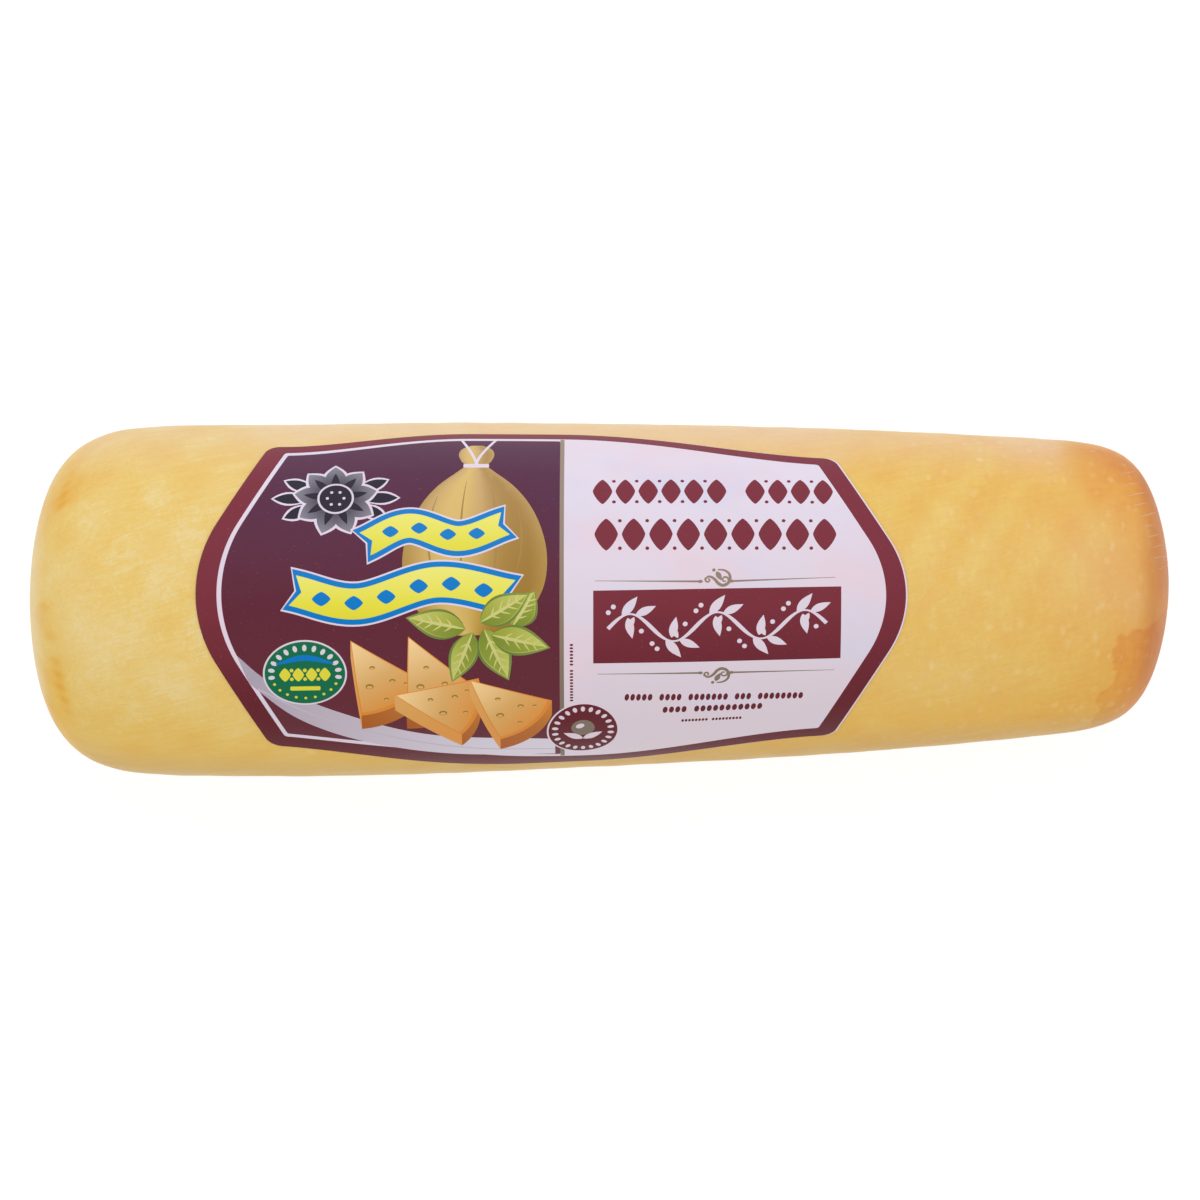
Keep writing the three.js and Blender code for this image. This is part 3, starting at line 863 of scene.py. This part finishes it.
def leaning(x, x0, x1, ends):
    return ends[0] + (ends[1] - ends[0]) * (x - x0) / (x1 - x0)


LOZENGE_FILL = 0.86  # of its pitch


def draw_lozenges(art, piece, x0, x1, count, low, high):
    """A row of plump lozenges between two leaning lines, with small dots between them."""
    pitch = (x1 - x0) / count
    for k in range(count):
        x = x0 + (k + 0.5) * pitch
        bottom, top = leaning(x, x0, x1, low), leaning(x, x0, x1, high)
        middle, tall = (bottom + top) / 2, (top - bottom) * DEGREE / 2
        art.ellipse(piece, x, middle, pitch * LOZENGE_FILL / 2, tall, steps=24, power=1.5)
        if k:
            for angle in (bottom + 0.8, top - 0.8):
                art.ellipse(piece, x - pitch / 2, angle, 0.55, 0.55, steps=10)


def draw_title(art):
    piece = "burgundy_ornaments"
    draw_lozenges(art, piece, -3.2, 35.2, 6, (30.7, 30.9), (40.6, 41.0))
    draw_lozenges(art, piece, 39.6, 65.2, 4, (30.8, 30.8), (41.0, 41.2))
    draw_lozenges(art, piece, -2.8, 65.9, 9, (14.4, 13.8), (25.4, 25.2))


SCROLL = (  # millimetres from its middle
    (-3.3, 0.2), (-2.6, 1.05), (-1.6, 0.95), (-0.6, 0.2), (0.3, -0.9), (1.5, -1.5),
    (2.9, -1.0), (3.6, 0.4), (3.3, 1.9), (2.0, 2.9), (0.2, 3.1),
)
VOLUTES = ((-2.55, 0.15, 0.85, 0.3, 130, 450), (2.15, 0.1, 1.15, 0.35, -30, 320))


def draw_scroll(art, x, angle, flip):
    """A pair of volutes joined like an S, upside down where flip is -1."""
    body = curve_through(np.asarray(SCROLL) * (1, flip / DEGREE) + (x, angle), 60)
    art.stroke("gold_lines", body, 0.42 + 0.5 * np.sin(math.pi * np.linspace(0, 1, len(body))))
    for cx, cy, start, end, first, last in VOLUTES:
        curl = spiral(x + cx, angle + flip * cy / DEGREE, start, end, flip * first, flip * last)
        art.stroke("gold_lines", curl, np.linspace(0.6, 0.4, len(curl)))
    art.leaf("gold_lines", x - 0.2, angle + flip * 2.6 / DEGREE, 3.1, 1.5, -flip * 62)
    art.ellipse("gold_lines", x - 0.9, angle + flip * 3.0 / DEGREE, 0.5, 0.5)


def draw_rule(art, scroll, flip, *lines):
    """A gold rule in two tapered lines, with a scroll between them."""
    t = np.linspace(0, 1, 14)
    for (x0, angle0), (x1, angle1) in lines:
        path = np.stack([x0 + (x1 - x0) * t, angle0 + (angle1 - angle0) * t], -1)
        art.stroke("gold_lines", path, 0.16 + 0.44 * t**1.3)
        art.ellipse("gold_lines", x1, angle1, 0.75, 0.48)
    draw_scroll(art, *scroll, flip)


VINE_LEAVES = (  # at each crest: x and depth from it, length, width and lean
    (-2.2, 0.6, 7.0, 2.6, 52), (1.6, 0.4, 6.2, 2.3, 24),
    (-0.6, 1.2, 6.2, 2.4, -78), (1.2, 1.0, 4.6, 1.6, -116),
)
VINE_BERRIES = ((-4.6, 2.4), (-6.0, 0.6), (3.2, -5.6))


def draw_band(art):
    """A waving vine on the burgundy band."""
    art.add("name_band_print", NAME_BAND)
    left, right, waves = VINE["left"], VINE["right"], VINE["waves"]
    turn = np.linspace(0, 1, 110) * math.pi * waves
    x = left + (right - left) * turn / turn[-1]
    wave = VINE["angle"] + VINE["height"] * np.sin(turn)
    art.stroke("pale_lines", np.stack([x, wave], -1), 0.5 + 0.6 * np.abs(np.cos(turn)) ** 2)
    for k in range(waves):
        up = 1 if k % 2 == 0 else -1
        cx = left + (right - left) / waves * (k + 0.5)
        crest = VINE["angle"] + up * VINE["height"]
        for dx, depth, length, width, lean in VINE_LEAVES:
            art.leaf("pale_lines", cx + dx, crest - up * depth, length, width, up * lean)
        for dx, rise in VINE_BERRIES:
            art.ellipse("pale_lines", cx + dx, crest + up * rise, 0.7, 0.7)


def draw_small_lines(art):
    """Rows of small beads, grouped as words would be."""
    piece = "burgundy_ornaments"
    rows = (
        (6.0, 56.5, (-35.1, -37.6), 1.25, (5, 4, 7, 3, 8)),
        (16.7, 45.1, (-41.0, -41.4), 1.25, (4, 11)),
        (22.1, 39.3, (-46.4, -46.5), 0.6, (8, 9)),
    )
    for x0, x1, angles, half, words in rows:
        pitch = (x1 - x0) / (sum(words) + len(words) - 1)
        x = x0 + pitch / 2
        for word in words:
            for _ in range(word):
                art.ellipse(piece, x, leaning(x, x0, x1, angles), 0.4 * pitch, half, -8)
                x += pitch
            x += pitch
    for k in range(19):
        if k != 11:
            art.ellipse(piece, -8.65, -35.6 + 1.1 * k, 0.52, 0.33, steps=10)


OVAL_MARKS, MARK_INSET = 22, 2.3


def draw_oval(art, oval, field):
    """An oval ringed with marks. Along the foot of the left one they are yellow dots."""
    x, angle, rx, ry = oval[0], oval[1], oval[2], oval[3] * DEGREE
    art.ellipse("pale_lines", x, angle, rx, ry, steps=72)
    art.ellipse(field, x, angle, rx - 0.5, ry - 0.5, steps=72)
    for k in range(OVAL_MARKS):
        turn = 2 * math.pi * (k + 0.5) / OVAL_MARKS
        px, py = (rx - MARK_INSET) * math.cos(turn), (ry - MARK_INSET) * math.sin(turn)
        pale = math.sin(turn) > -0.2 or field == "middle_oval_print"
        piece, size = ("pale_lines", (0.95, 0.62)) if pale else ("yellow_shapes", (0.42, 0.42))
        spot = turned_shape(px, py, x, angle, 0)
        art.ellipse(piece, *spot, *size, math.degrees(turn))


def draw_ovals(art):
    draw_oval(art, LEFT_OVAL, "left_oval_print")
    draw_oval(art, MIDDLE_OVAL, "middle_oval_print")
    x, angle = LEFT_OVAL[:2]
    arch = [(x - 8.0, angle + 3.4), (x, angle + 5.4), (x + 8.0, angle + 3.4)]
    path = curve_through(arch, 24)
    art.stroke("blue_shapes", path, 1.7 * np.sin(np.linspace(0.25, math.pi - 0.25, len(path))))
    draw_lozenges(art, "yellow_shapes", x - 7.4, x + 7.4, 4, (angle - 2.6,) * 2, (angle + 2.0,) * 2)
    art.bar("yellow_shapes", x - 4.2, x + 4.2, angle - 5.1, 1.3)
    x, angle = MIDDLE_OVAL[:2]
    for lean in (28, 152):
        art.leaf("pale_lines", x, angle - 4.2, 6.2, 2.4, lean)
    art.ellipse("gold_lines", x, angle + 1.4, 3.3, 3.3, steps=36)
    art.ellipse("pale_lines", x - 0.8, angle + 2.3, 1.3, 0.9, steps=20, lean=30)


def draw_ribbon(art, path, width):
    """A waving ribbon with forked ends, outlined in blue and again in pale."""
    for piece, growth in (("pale_lines", 4.0), ("blue_shapes", 3.0), ("yellow_shapes", 0.0)):
        line = np.asarray(path, float) * (1, DEGREE)
        step, side = sideways(line, width + growth)
        line[0] -= step[0] * growth / 2
        line[-1] += step[-1] * growth / 2
        start, end = line[0] + step[0] * width * 0.3, line[-1] - step[-1] * width * 0.3
        outline = np.vstack([line + side, end, (line - side)[::-1], start]) / (1, DEGREE)
        low, high = np.min(outline[:, 1]), np.max(outline[:, 1])
        art.add(piece, outline, fade((0, low), (0, high), 0.3, 0.95))


PEAR_PROFILE = (  # angles from its neck down, and half widths
    (57.6, 1.6), (55.4, 4.2), (52.2, 5.0), (49.0, 4.2), (46.8, 3.2), (44.0, 5.2), (38, 10.6),
    (31, 15.0), (23, 18.2), (14, 20.0), (5, 19.6), (-2, 17.0), (-8, 12.4), (-12, 6.0),
)
PEAR_ROPES = ((-13, 30), (-4, 42), (6, 36), (13, 24))
PEAR_CORDS = (((-4.5, 61.6), (-1.2, 52.5), (0.4, 46.8)), ((5.5, 61.6), (1.4, 52.5), (-0.4, 46.8)))


def draw_pear_cheese(art, x):
    """A pear-shaped cheese that hangs by its cord."""
    half = curve_through(PEAR_PROFILE, 60)
    rising = half[::-1]
    right = np.stack([x + half[:, 1], half[:, 0]], -1)
    left = np.stack([x - rising[:, 1], rising[:, 0]], -1)

    def rounding(px, arc):
        """Lit from the upper left, with a little light thrown back on the right edge."""
        width = np.interp(arc / DEGREE, rising[:, 0], rising[:, 1])
        u = (px - x) / np.maximum(width, 1)
        lit = 0.72 * hump(u, -0.36, 0.5)
        return 0.12 + lit + 0.16 * smoothstep(u, 0.75, 1) + 0.1 * smoothstep(arc, 0, 40)

    art.add("golden_shapes", np.vstack([right, left]), rounding)
    for turn, tall in PEAR_ROPES:
        bulge = np.linspace(-tall / 2, tall / 2, 9)
        rope = np.stack([x + turn * np.cos(bulge / 24), 19 + bulge], -1)
        art.stroke("golden_shade", rope, 0.12 + 0.5 * np.cos(np.linspace(-1.5, 1.5, 9)))
    for cord in PEAR_CORDS:
        art.stroke("pale_lines", curve_through(np.array(cord) + (x, 0), 16), 0.8)
    art.bar("pale_lines", x - 3.6, x + 3.6, 46.8, 1.5)


def draw_rosette(art, x, angle, reach):
    for lean in (-24, 0, 24, 156, 180, 204):
        length = reach * (1.5 if lean in (0, 180) else 1.34)
        art.leaf("pale_lines", x, angle, length + 0.7, reach * 0.4, lean, belly=0.72)
        art.leaf("dark_shapes", x, angle, length, reach * 0.3, lean, belly=0.72)
    petals = range(12, 372, 40)
    for lean in petals:
        art.leaf("pale_lines", x, angle, reach + 0.7, reach * 0.62, lean, belly=0.6)
    for lean in petals:
        shading = fade((x, angle), turned_shape(reach, 0, x, angle, lean), -0.2, 1.0)
        art.leaf("grey_shapes", x, angle, reach, reach * 0.5, lean, shading, belly=0.6)
        art.leaf("dark_shapes", x, angle, reach * 0.78, reach * 0.2, lean, belly=0.55)
    for piece, share in (("pale_lines", 0.44), ("dark_shapes", 0.39)):
        art.ellipse(piece, x, angle, reach * share, reach * share, steps=36)
    for lean in range(0, 360, 60):
        dot = turned_shape(reach * 0.2, 0, x, angle, lean)
        art.ellipse("pale_lines", *dot, 0.45, 0.45, steps=10)


WEDGE = {"half_opening": 26, "thick": 5.2}  # degrees and millimetres
WEDGE_HOLES = (  # share of the radius, degrees off the middle, and half width
    (0.42, 4, 0.8), (0.62, -12, 1.15), (0.7, 11, 0.9), (0.86, -4, 0.7), (0.84, 17, 0.6),
)


def draw_wedge(art, x, angle, radius, lean):
    """A cut wedge seen from its front and above: its point at (x, angle), its rind on the far
    arc. Its lower sides show."""

    def place(share, turn):
        turn = np.radians(turn)
        px, py = radius * share * np.cos(turn), radius * share * np.sin(turn)
        return turned_shape(px, py, x, angle, lean)

    side = WEDGE["half_opening"]
    tip, drop = np.array([x, angle]), np.array([0, WEDGE["thick"] / DEGREE])
    rim = place(1.0, np.linspace(-side, side, 18))
    front = place(1.0, np.linspace(-side, min(side, -2 - lean), 16))
    shading = fade(front[0] - drop, front[-1], 0.1, 0.75)
    art.add("crust_shapes", np.vstack([front - drop, front[::-1]]), shading)
    near = rim[0]
    if near[0] > tip[0] + 0.5:
        shading = fade(tip, near - drop, 0.42, 0.1)
        art.add("slice_shapes", [tip, tip - drop, near - drop, near], shading)
    art.add("crust_shapes", np.vstack([tip, rim]), 0.85)
    face = np.vstack([place(0.02, 0), place(0.955, np.linspace(-25, 25, 18))])
    art.add("slice_shapes", face, fade(tip, place(1.0, 0), 1.05, 0.08))
    for share, turn, size in WEDGE_HOLES:
        cx, ca = place(share, turn)
        art.ellipse("golden_shade", cx, ca, size, size * 0.72, steps=16)
        art.ellipse("slice_shapes", cx, ca - 0.25, size * 0.7, size * 0.4)


def draw_leaf(art, x, angle, length, width, lean):
    """A pointed leaf with a lit half, a shaded half, a midrib and side veins."""
    tip = turned_shape(length, 0, x, angle, lean)
    below = -1 if math.cos(math.radians(lean)) > 0 else 1  # the side that the shade lies on
    for piece, long, wide, lower, first, last in (
        ("leaf_dark", 1, 1, 1, 0.3, 0.8),
        ("leaf_shapes", 0.95, 0.84, 1, 0.35, 0.95),
        ("leaf_shapes", 0.93, 0.8 * below, 0, 0.1, 0.5),
    ):
        shading = fade((x, angle), tip, first, last)
        art.leaf(piece, x, angle, length * long, width * wide, lean, shading, lower=lower)
    for share in (0.22, 0.38, 0.54, 0.7):
        spot = turned_shape(length * share, 0, x, angle, lean)
        reach = width * 0.42 * math.sin(math.pi * share**0.8)
        for side in (-42, 42):
            art.leaf("leaf_light", *spot, reach, 0.42, lean + side)
    art.leaf("leaf_light", x, angle, length * 0.92, 0.9, lean)


RIBBONS = (  # route, its steps and the ribbon's width
    (((-66, 17.5), (-54, 23.5), (-40, 19.0), (-27, 24.0)), 48, 7.4),
    (((-86, 3.0), (-68, -1.5), (-46, 5.0), (-25, 0.5)), 60, 8.6),
)
RIBBON_MARKS = (  # half widths and places of the lozenges on each
    ((2.3, 1.7), ((-59, 21.5), (-51, 22.6), (-43, 20.4), (-35, 20.6))),
    ((2.6, 2.0), ((-78, 0.2), (-69, -1.2), (-60, 0.6), (-51, 3.8), (-42, 4.4), (-33, 2.2))),
)
CLOTH_TOP = ((-101.6, -17.5), (-92, -27), (-74, -38), (-48, -49), (-13.4, -53))
CLOTH_FOOT = ((-13.4, -62.5), (-40, -60.5), (-64, -53), (-84, -41.5), (-98.4, -27))
CLOTH_HEM = ((-96, -29), (-80, -39.5), (-58, -50), (-36, -57), (-13.4, -59))
WEDGES = ((-70, -13, 24, -58), (-54, -12, 25, -66), (-58, -32, 24, -14), (-37, -27, 24, -44))
LEAVES = (  # x, angle, length, width and lean
    (-38, -10, 17, 8.6, 168), (-25, -9.5, 12, 8.6, 58), (-36, -11, 16, 8.0, -112),
    (-33, -10, 17, 9.0, -66), (-31, -12, 17, 8.8, -14), (-34, -8, 16, 8.6, 30),
)


def draw_picture(art):
    draw_rosette(art, -74.5, 33.5, 11.6)
    draw_pear_cheese(art, -35.5)
    for route, steps, width in RIBBONS:
        draw_ribbon(art, curve_through(route, steps), width)
    for size, places in RIBBON_MARKS:
        for x, angle in places:
            art.ellipse("blue_shapes", x, angle, *size, steps=20, power=1.5)
    cloth = np.vstack([curve_through(CLOTH_TOP, 48), curve_through(CLOTH_FOOT, 48)])
    art.add("cloth_shapes", cloth, fade((-96, -22), (-30, -62), 0.2, 0.95))
    art.stroke("cloth_shapes", curve_through(CLOTH_HEM, 40), 0.5)
    for wedge in WEDGES:
        draw_wedge(art, *wedge)
    for leaf in LEAVES:
        draw_leaf(art, *leaf)


# ---- The print's inks and pieces
def ink_material(name, colours):
    """A flat print: colours are low on the label, across its middle and at its top edge. The low
    colours carry painted shade and the top ones a painted sheen.
    """
    gloss = {"Coat_Weight": 0.2, "Coat_Roughness": 0.18, "Coat_IOR": 1.4}
    shader = Shader("ink_" + name, Specular_IOR_Level=0.08, **gloss)
    spot = shader.place()
    clouds = shader.noise(spot, 38, 3.0)
    # the colours' run with height holds painted shade low on the label and a painted sheen at its
    # top
    share = shader.band(shader.put("SeparateXYZ", output=1, inputs={0: spot}), -0.046, 0.046)
    share = shader.math("ADD", share, shader.scaled(clouds, 0.25), clamp=True)
    base = shader.ramp(share, list(zip((0.0, 0.45, 1.0), colours)))
    for colour, gain in zip(TINTS.get(name, ()), (-2.0, 2.0)):
        away = shader.math("SUBTRACT", shader.attribute("tint"), 0.5)
        base = shader.tinted(base, colour, shader.math("MULTIPLY", away, gain, clamp=True))
    for seed, colour in enumerate(PEARLS.get(name, ())):
        moved = shader.put("Mapping", inputs={"Vector": spot, "Location": (seed, 0, 0)})
        bloom = shader.noise(moved, (30, 46, 46), 3.0)
        base = shader.tinted(base, colour, shader.band(bloom, 0.45, 0.7), 0.6)
    dots = shader.noise(spot, 1500, 1.0)
    base = shader.tinted(base, (226, 214, 226), shader.band(dots, 0.68, 0.8), 0.05)
    shader.drive(Base_Color=base, Roughness=shader.band(clouds, 0.25, 0.75, 0.3, 0.44))
    shader.bump(shader.noise(spot, (60, 160, 160), 3.0, 0.55), 0.00012, 0.5)
    return shader.material


# each ink low, across the middle and at the top: painted shade low and a painted sheen at the top
INKS = {
    "burgundy": ((98, 28, 38), (122, 46, 58), (129, 54, 68)),
    "plum": ((102, 42, 52), (97, 38, 54), (92, 52, 78)),
    "pale": ((224, 209, 217), (226, 213, 226), (229, 219, 235)),
    "green": ((10, 106, 72), (12, 112, 76), (30, 118, 90)),
    "gold": ((128, 112, 98), (146, 126, 108), (158, 140, 128)),
    "golden": ((196, 150, 66), (196, 158, 74), (206, 172, 120)),
    "golden_deep": ((158, 116, 48), (166, 130, 58), (176, 142, 92)),
    "peach": ((222, 172, 100), (226, 180, 116), (226, 192, 150)),
    "crust": ((186, 112, 44), (204, 138, 70), (210, 150, 92)),
    "leaf": ((154, 164, 60), (166, 172, 68), (174, 180, 92)),
    "leaf_deep": ((96, 122, 56), (110, 132, 62), (120, 140, 80)),
    "leaf_pale": ((196, 196, 116), (208, 206, 128), (212, 212, 150)),
    "blue": ((0, 116, 190), (0, 122, 200), (40, 132, 206)),
    "yellow": ((222, 212, 60), (232, 224, 66), (232, 226, 96)),
    "cloth": ((196, 184, 196), (200, 190, 202), (210, 200, 214)),
    "grey": ((92, 88, 98), (96, 92, 104), (106, 102, 116)),
    "dark": ((38, 34, 44), (40, 36, 48), (52, 48, 62)),
}
TINTS = {  # what an ink fades to where the drawing is shaded, and where it is lit
    "golden": ((148, 106, 36), (226, 194, 118)),
    "golden_deep": ((120, 84, 30), (190, 152, 80)),
    "peach": ((226, 142, 50), (248, 212, 152)),
    "crust": ((170, 84, 22), (236, 148, 58)),
    "leaf": ((104, 128, 40), (212, 212, 116)),
    "leaf_deep": ((62, 90, 36), (150, 166, 84)),
    "yellow": ((226, 206, 34), (242, 236, 128)),
    "cloth": ((158, 146, 164), (222, 214, 226)),
    "grey": ((44, 40, 50), (142, 138, 152)),
}
PEARLS = {"pale": ((214, 214, 238), (234, 208, 220))}  # faint clouds in an ink
PRINT_PIECES = {
    "label_border_print": ("burgundy", "burgundy_ink", "label_border"),
    "text_field_print": ("pale", "pale_ink", "label_text_field"),
    "picture_field_print": ("plum", "plum_ink", "label_picture_field"),
    "name_band_print": ("burgundy", "burgundy_ink", "label_name_band"),
    "left_oval_print": ("green", "green_ink", "label_left_oval"),
    "middle_oval_print": ("burgundy", "burgundy_ink", "label_middle_oval"),
    "burgundy_ornaments": ("burgundy", "burgundy_ink"),
    "pale_lines": ("pale", "pale_ink"),
    "gold_lines": ("gold", "gold_ink"),
    "golden_shapes": ("golden", "golden_ink"),
    "golden_shade": ("golden_deep", "golden_ink"),
    "slice_shapes": ("peach", "golden_ink"),
    "crust_shapes": ("crust", "golden_ink"),
    "leaf_shapes": ("leaf", "leaf_ink"),
    "leaf_dark": ("leaf_deep", "leaf_ink"),
    "leaf_light": ("leaf_pale", "leaf_ink"),
    "blue_shapes": ("blue", "blue_ink"),
    "yellow_shapes": ("yellow", "yellow_ink"),
    "cloth_shapes": ("cloth", "pale_ink"),
    "grey_shapes": ("grey", "plum_ink"),
    "dark_shapes": ("dark", "plum_ink"),
}
PRINT_LIFT = 0.12  # of the ink over the film
PRINT_CELL = 2.4
GRID_MARGIN = {"sides": 0.8, "edges": 0.9}  # millimetres and degrees


def grid_inside_label():
    """Points over the label's inside, so that the flat print can bend round the log."""
    x, arc = np.meshgrid(np.arange(-112, 85, PRINT_CELL), np.arange(-62, 60, PRINT_CELL))
    x = x + 0.25 * PRINT_CELL * (np.arange(len(x)) % 2)[:, None]
    angle = arc / DEGREE
    y = BARREL_RADIUS * np.sin(np.radians(angle))
    sides, edges = GRID_MARGIN["sides"], GRID_MARGIN["edges"]
    inside = (x > side_x(LABEL_LEFT, y, -1) + sides) & (x < side_x(LABEL_RIGHT, y, 1) - sides)
    inside &= (angle > bottom_angle(x) + edges) & (angle < top_angle(x) - edges)
    return np.stack([x[inside], arc[inside]], -1)


GOLD_RULES = (  # a scroll's place and flip, then the two lines beside it
    ((31.9, 4.2), 1, ((-2.1, 4.6), (27.2, 3.9)), ((64.9, 4.6), (35.9, 3.85))),
    ((31.7, -27.2), -1, ((-1.4, -26), (27.3, -26.8)), ((64.9, -27.8), (36, -27.1))),
)


def draw_label():
    art = Print()
    draw_ground(art)
    draw_picture(art)
    draw_title(art)
    draw_band(art)
    for rule in GOLD_RULES:
        draw_rule(art, *rule)
    draw_small_lines(art)
    draw_ovals(art)
    return art.shapes


def build_print():
    """Cuts the chart into cells that each belong to the topmost shape over them, bends them
    round the log and makes each piece of its own cells."""
    shapes = draw_label()
    points, loops = [], []
    for _, outline, _ in shapes:
        loops.append(list(range(len(points), len(points) + len(outline))))
        points.extend(outline * (1, DEGREE))
    points.extend(grid_inside_label())
    flat = [Vector(p) for p in points]
    spots, _, faces, _, _, owners = delaunay_2d_cdt(flat, [], loops, 1, 1e-5, True)
    spots = np.array([tuple(p) for p in spots])
    x, a = spots[:, 0], np.radians(spots[:, 1] / DEGREE)
    normals = log_normal(x, a)
    body = log_point(x, a) + normals * (film_height(x, a) + PRINT_LIFT)[:, None]
    cells = {name: [] for name in PRINT_PIECES}
    tints = {name: [] for name in PRINT_PIECES}
    for face, owner in zip(faces, owners):
        if owner:
            name, _, tint = shapes[max(owner)]
            cells[name].append(face)
            shade = tint(*spots[face].T) if callable(tint) else np.full(len(face), tint)
            tints[name].append(shade)
    inks = {name: ink_material(name, colours) for name, colours in INKS.items()}
    for name, (ink, slot, *replaced) in PRINT_PIECES.items():
        used, own = np.unique(np.concatenate(cells[name]), return_inverse=True)
        ends = np.cumsum([len(face) for face in cells[name]])
        own = [part.tolist() for part in np.split(own, ends[:-1])]
        piece = new_piece(name, body[used], own, inks[ink], slot, replaced, normals[used])
        store(piece, "tint", np.concatenate(tints[name]), "CORNER")


# ---- Floor, light and camera
FLOOR = {"half_size": 4.0, "sunk": 0.0003}
WIDEST_AT = 0.049  # height of the log's widest section
CAMERA_DISTANCE = 1.2  # over that section
FRAME_WIDTH = 330 / 1142.5 * 1200 * MM  # what the frame's width holds at that section


def build_floor():
    mesh = bpy.data.meshes.new("pale_floor")
    half = FLOOR["half_size"]
    corners = [(-half, -half, 0), (half, -half, 0), (half, half, 0), (-half, half, 0)]
    mesh.from_pydata(corners, [], [(0, 1, 2, 3)])
    shining = {"Emission_Color": (1, 1, 1, 1), "Emission_Strength": 0.86}
    shader = Shader("pale_floor", Roughness=0.9, **shining)
    cloud = shader.noise(shader.place(), 3.0)
    shader.drive(Base_Color=shader.mix(cloud, srgb(124, 124, 124), srgb(128, 128, 128)))
    mesh.materials.append(shader.material)
    floor = add_object("pale_floor", mesh)
    floor.location.z = -FLOOR["sunk"]
    floor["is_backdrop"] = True


def build_light():
    world = bpy.data.worlds.new("soft_tent")
    world.use_nodes = True
    background = world.node_tree.nodes["Background"]
    background.inputs[0].default_value = (1, 1, 1, 1)
    background.inputs[1].default_value = 0.72
    bpy.context.scene.world = world
    light = bpy.data.lights.new("soft_key", "AREA")
    light.shape = "DISK"
    light.size = 1.2
    light.energy = 6.0
    lamp = add_object("soft_key", light)
    lamp.location = (0.0, 0.55, 1.35)
    aim = Vector((0, 0, 0.03)) - lamp.location
    lamp.rotation_euler = aim.to_track_quat("-Z", "Y").to_euler()
    lamp.visible_glossy = False
    bpy.context.scene.view_settings.view_transform = "Standard"


def build_camera():
    camera = bpy.data.cameras.new("camera")
    camera.sensor_width = 36
    camera.lens = 36 * CAMERA_DISTANCE / FRAME_WIDTH
    camera.shift_x = -2.5 / 1200
    camera.shift_y = 0.2 / 1200
    eye = add_object("camera", camera)
    eye.location = (0, 0, WIDEST_AT + CAMERA_DISTANCE)
    bpy.context.scene.camera = eye

build_cheese()
build_film()
build_pleats()
seam = film_material("welded_seam_film", 0.35, 0.3, Roughness=0.3)
build_seal(THICK_END, "seam_thick_end", "seal_thick_end", seam)
build_seal(THIN_END, "seam_thin_end", "seal_thin_end", seam)
build_print()
build_floor()
build_light()
build_camera()

boxes = {"cad": cad_box, "visual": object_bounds()}
boxes = {key: [list(map(float, corner)) for corner in box] for key, box in boxes.items()}
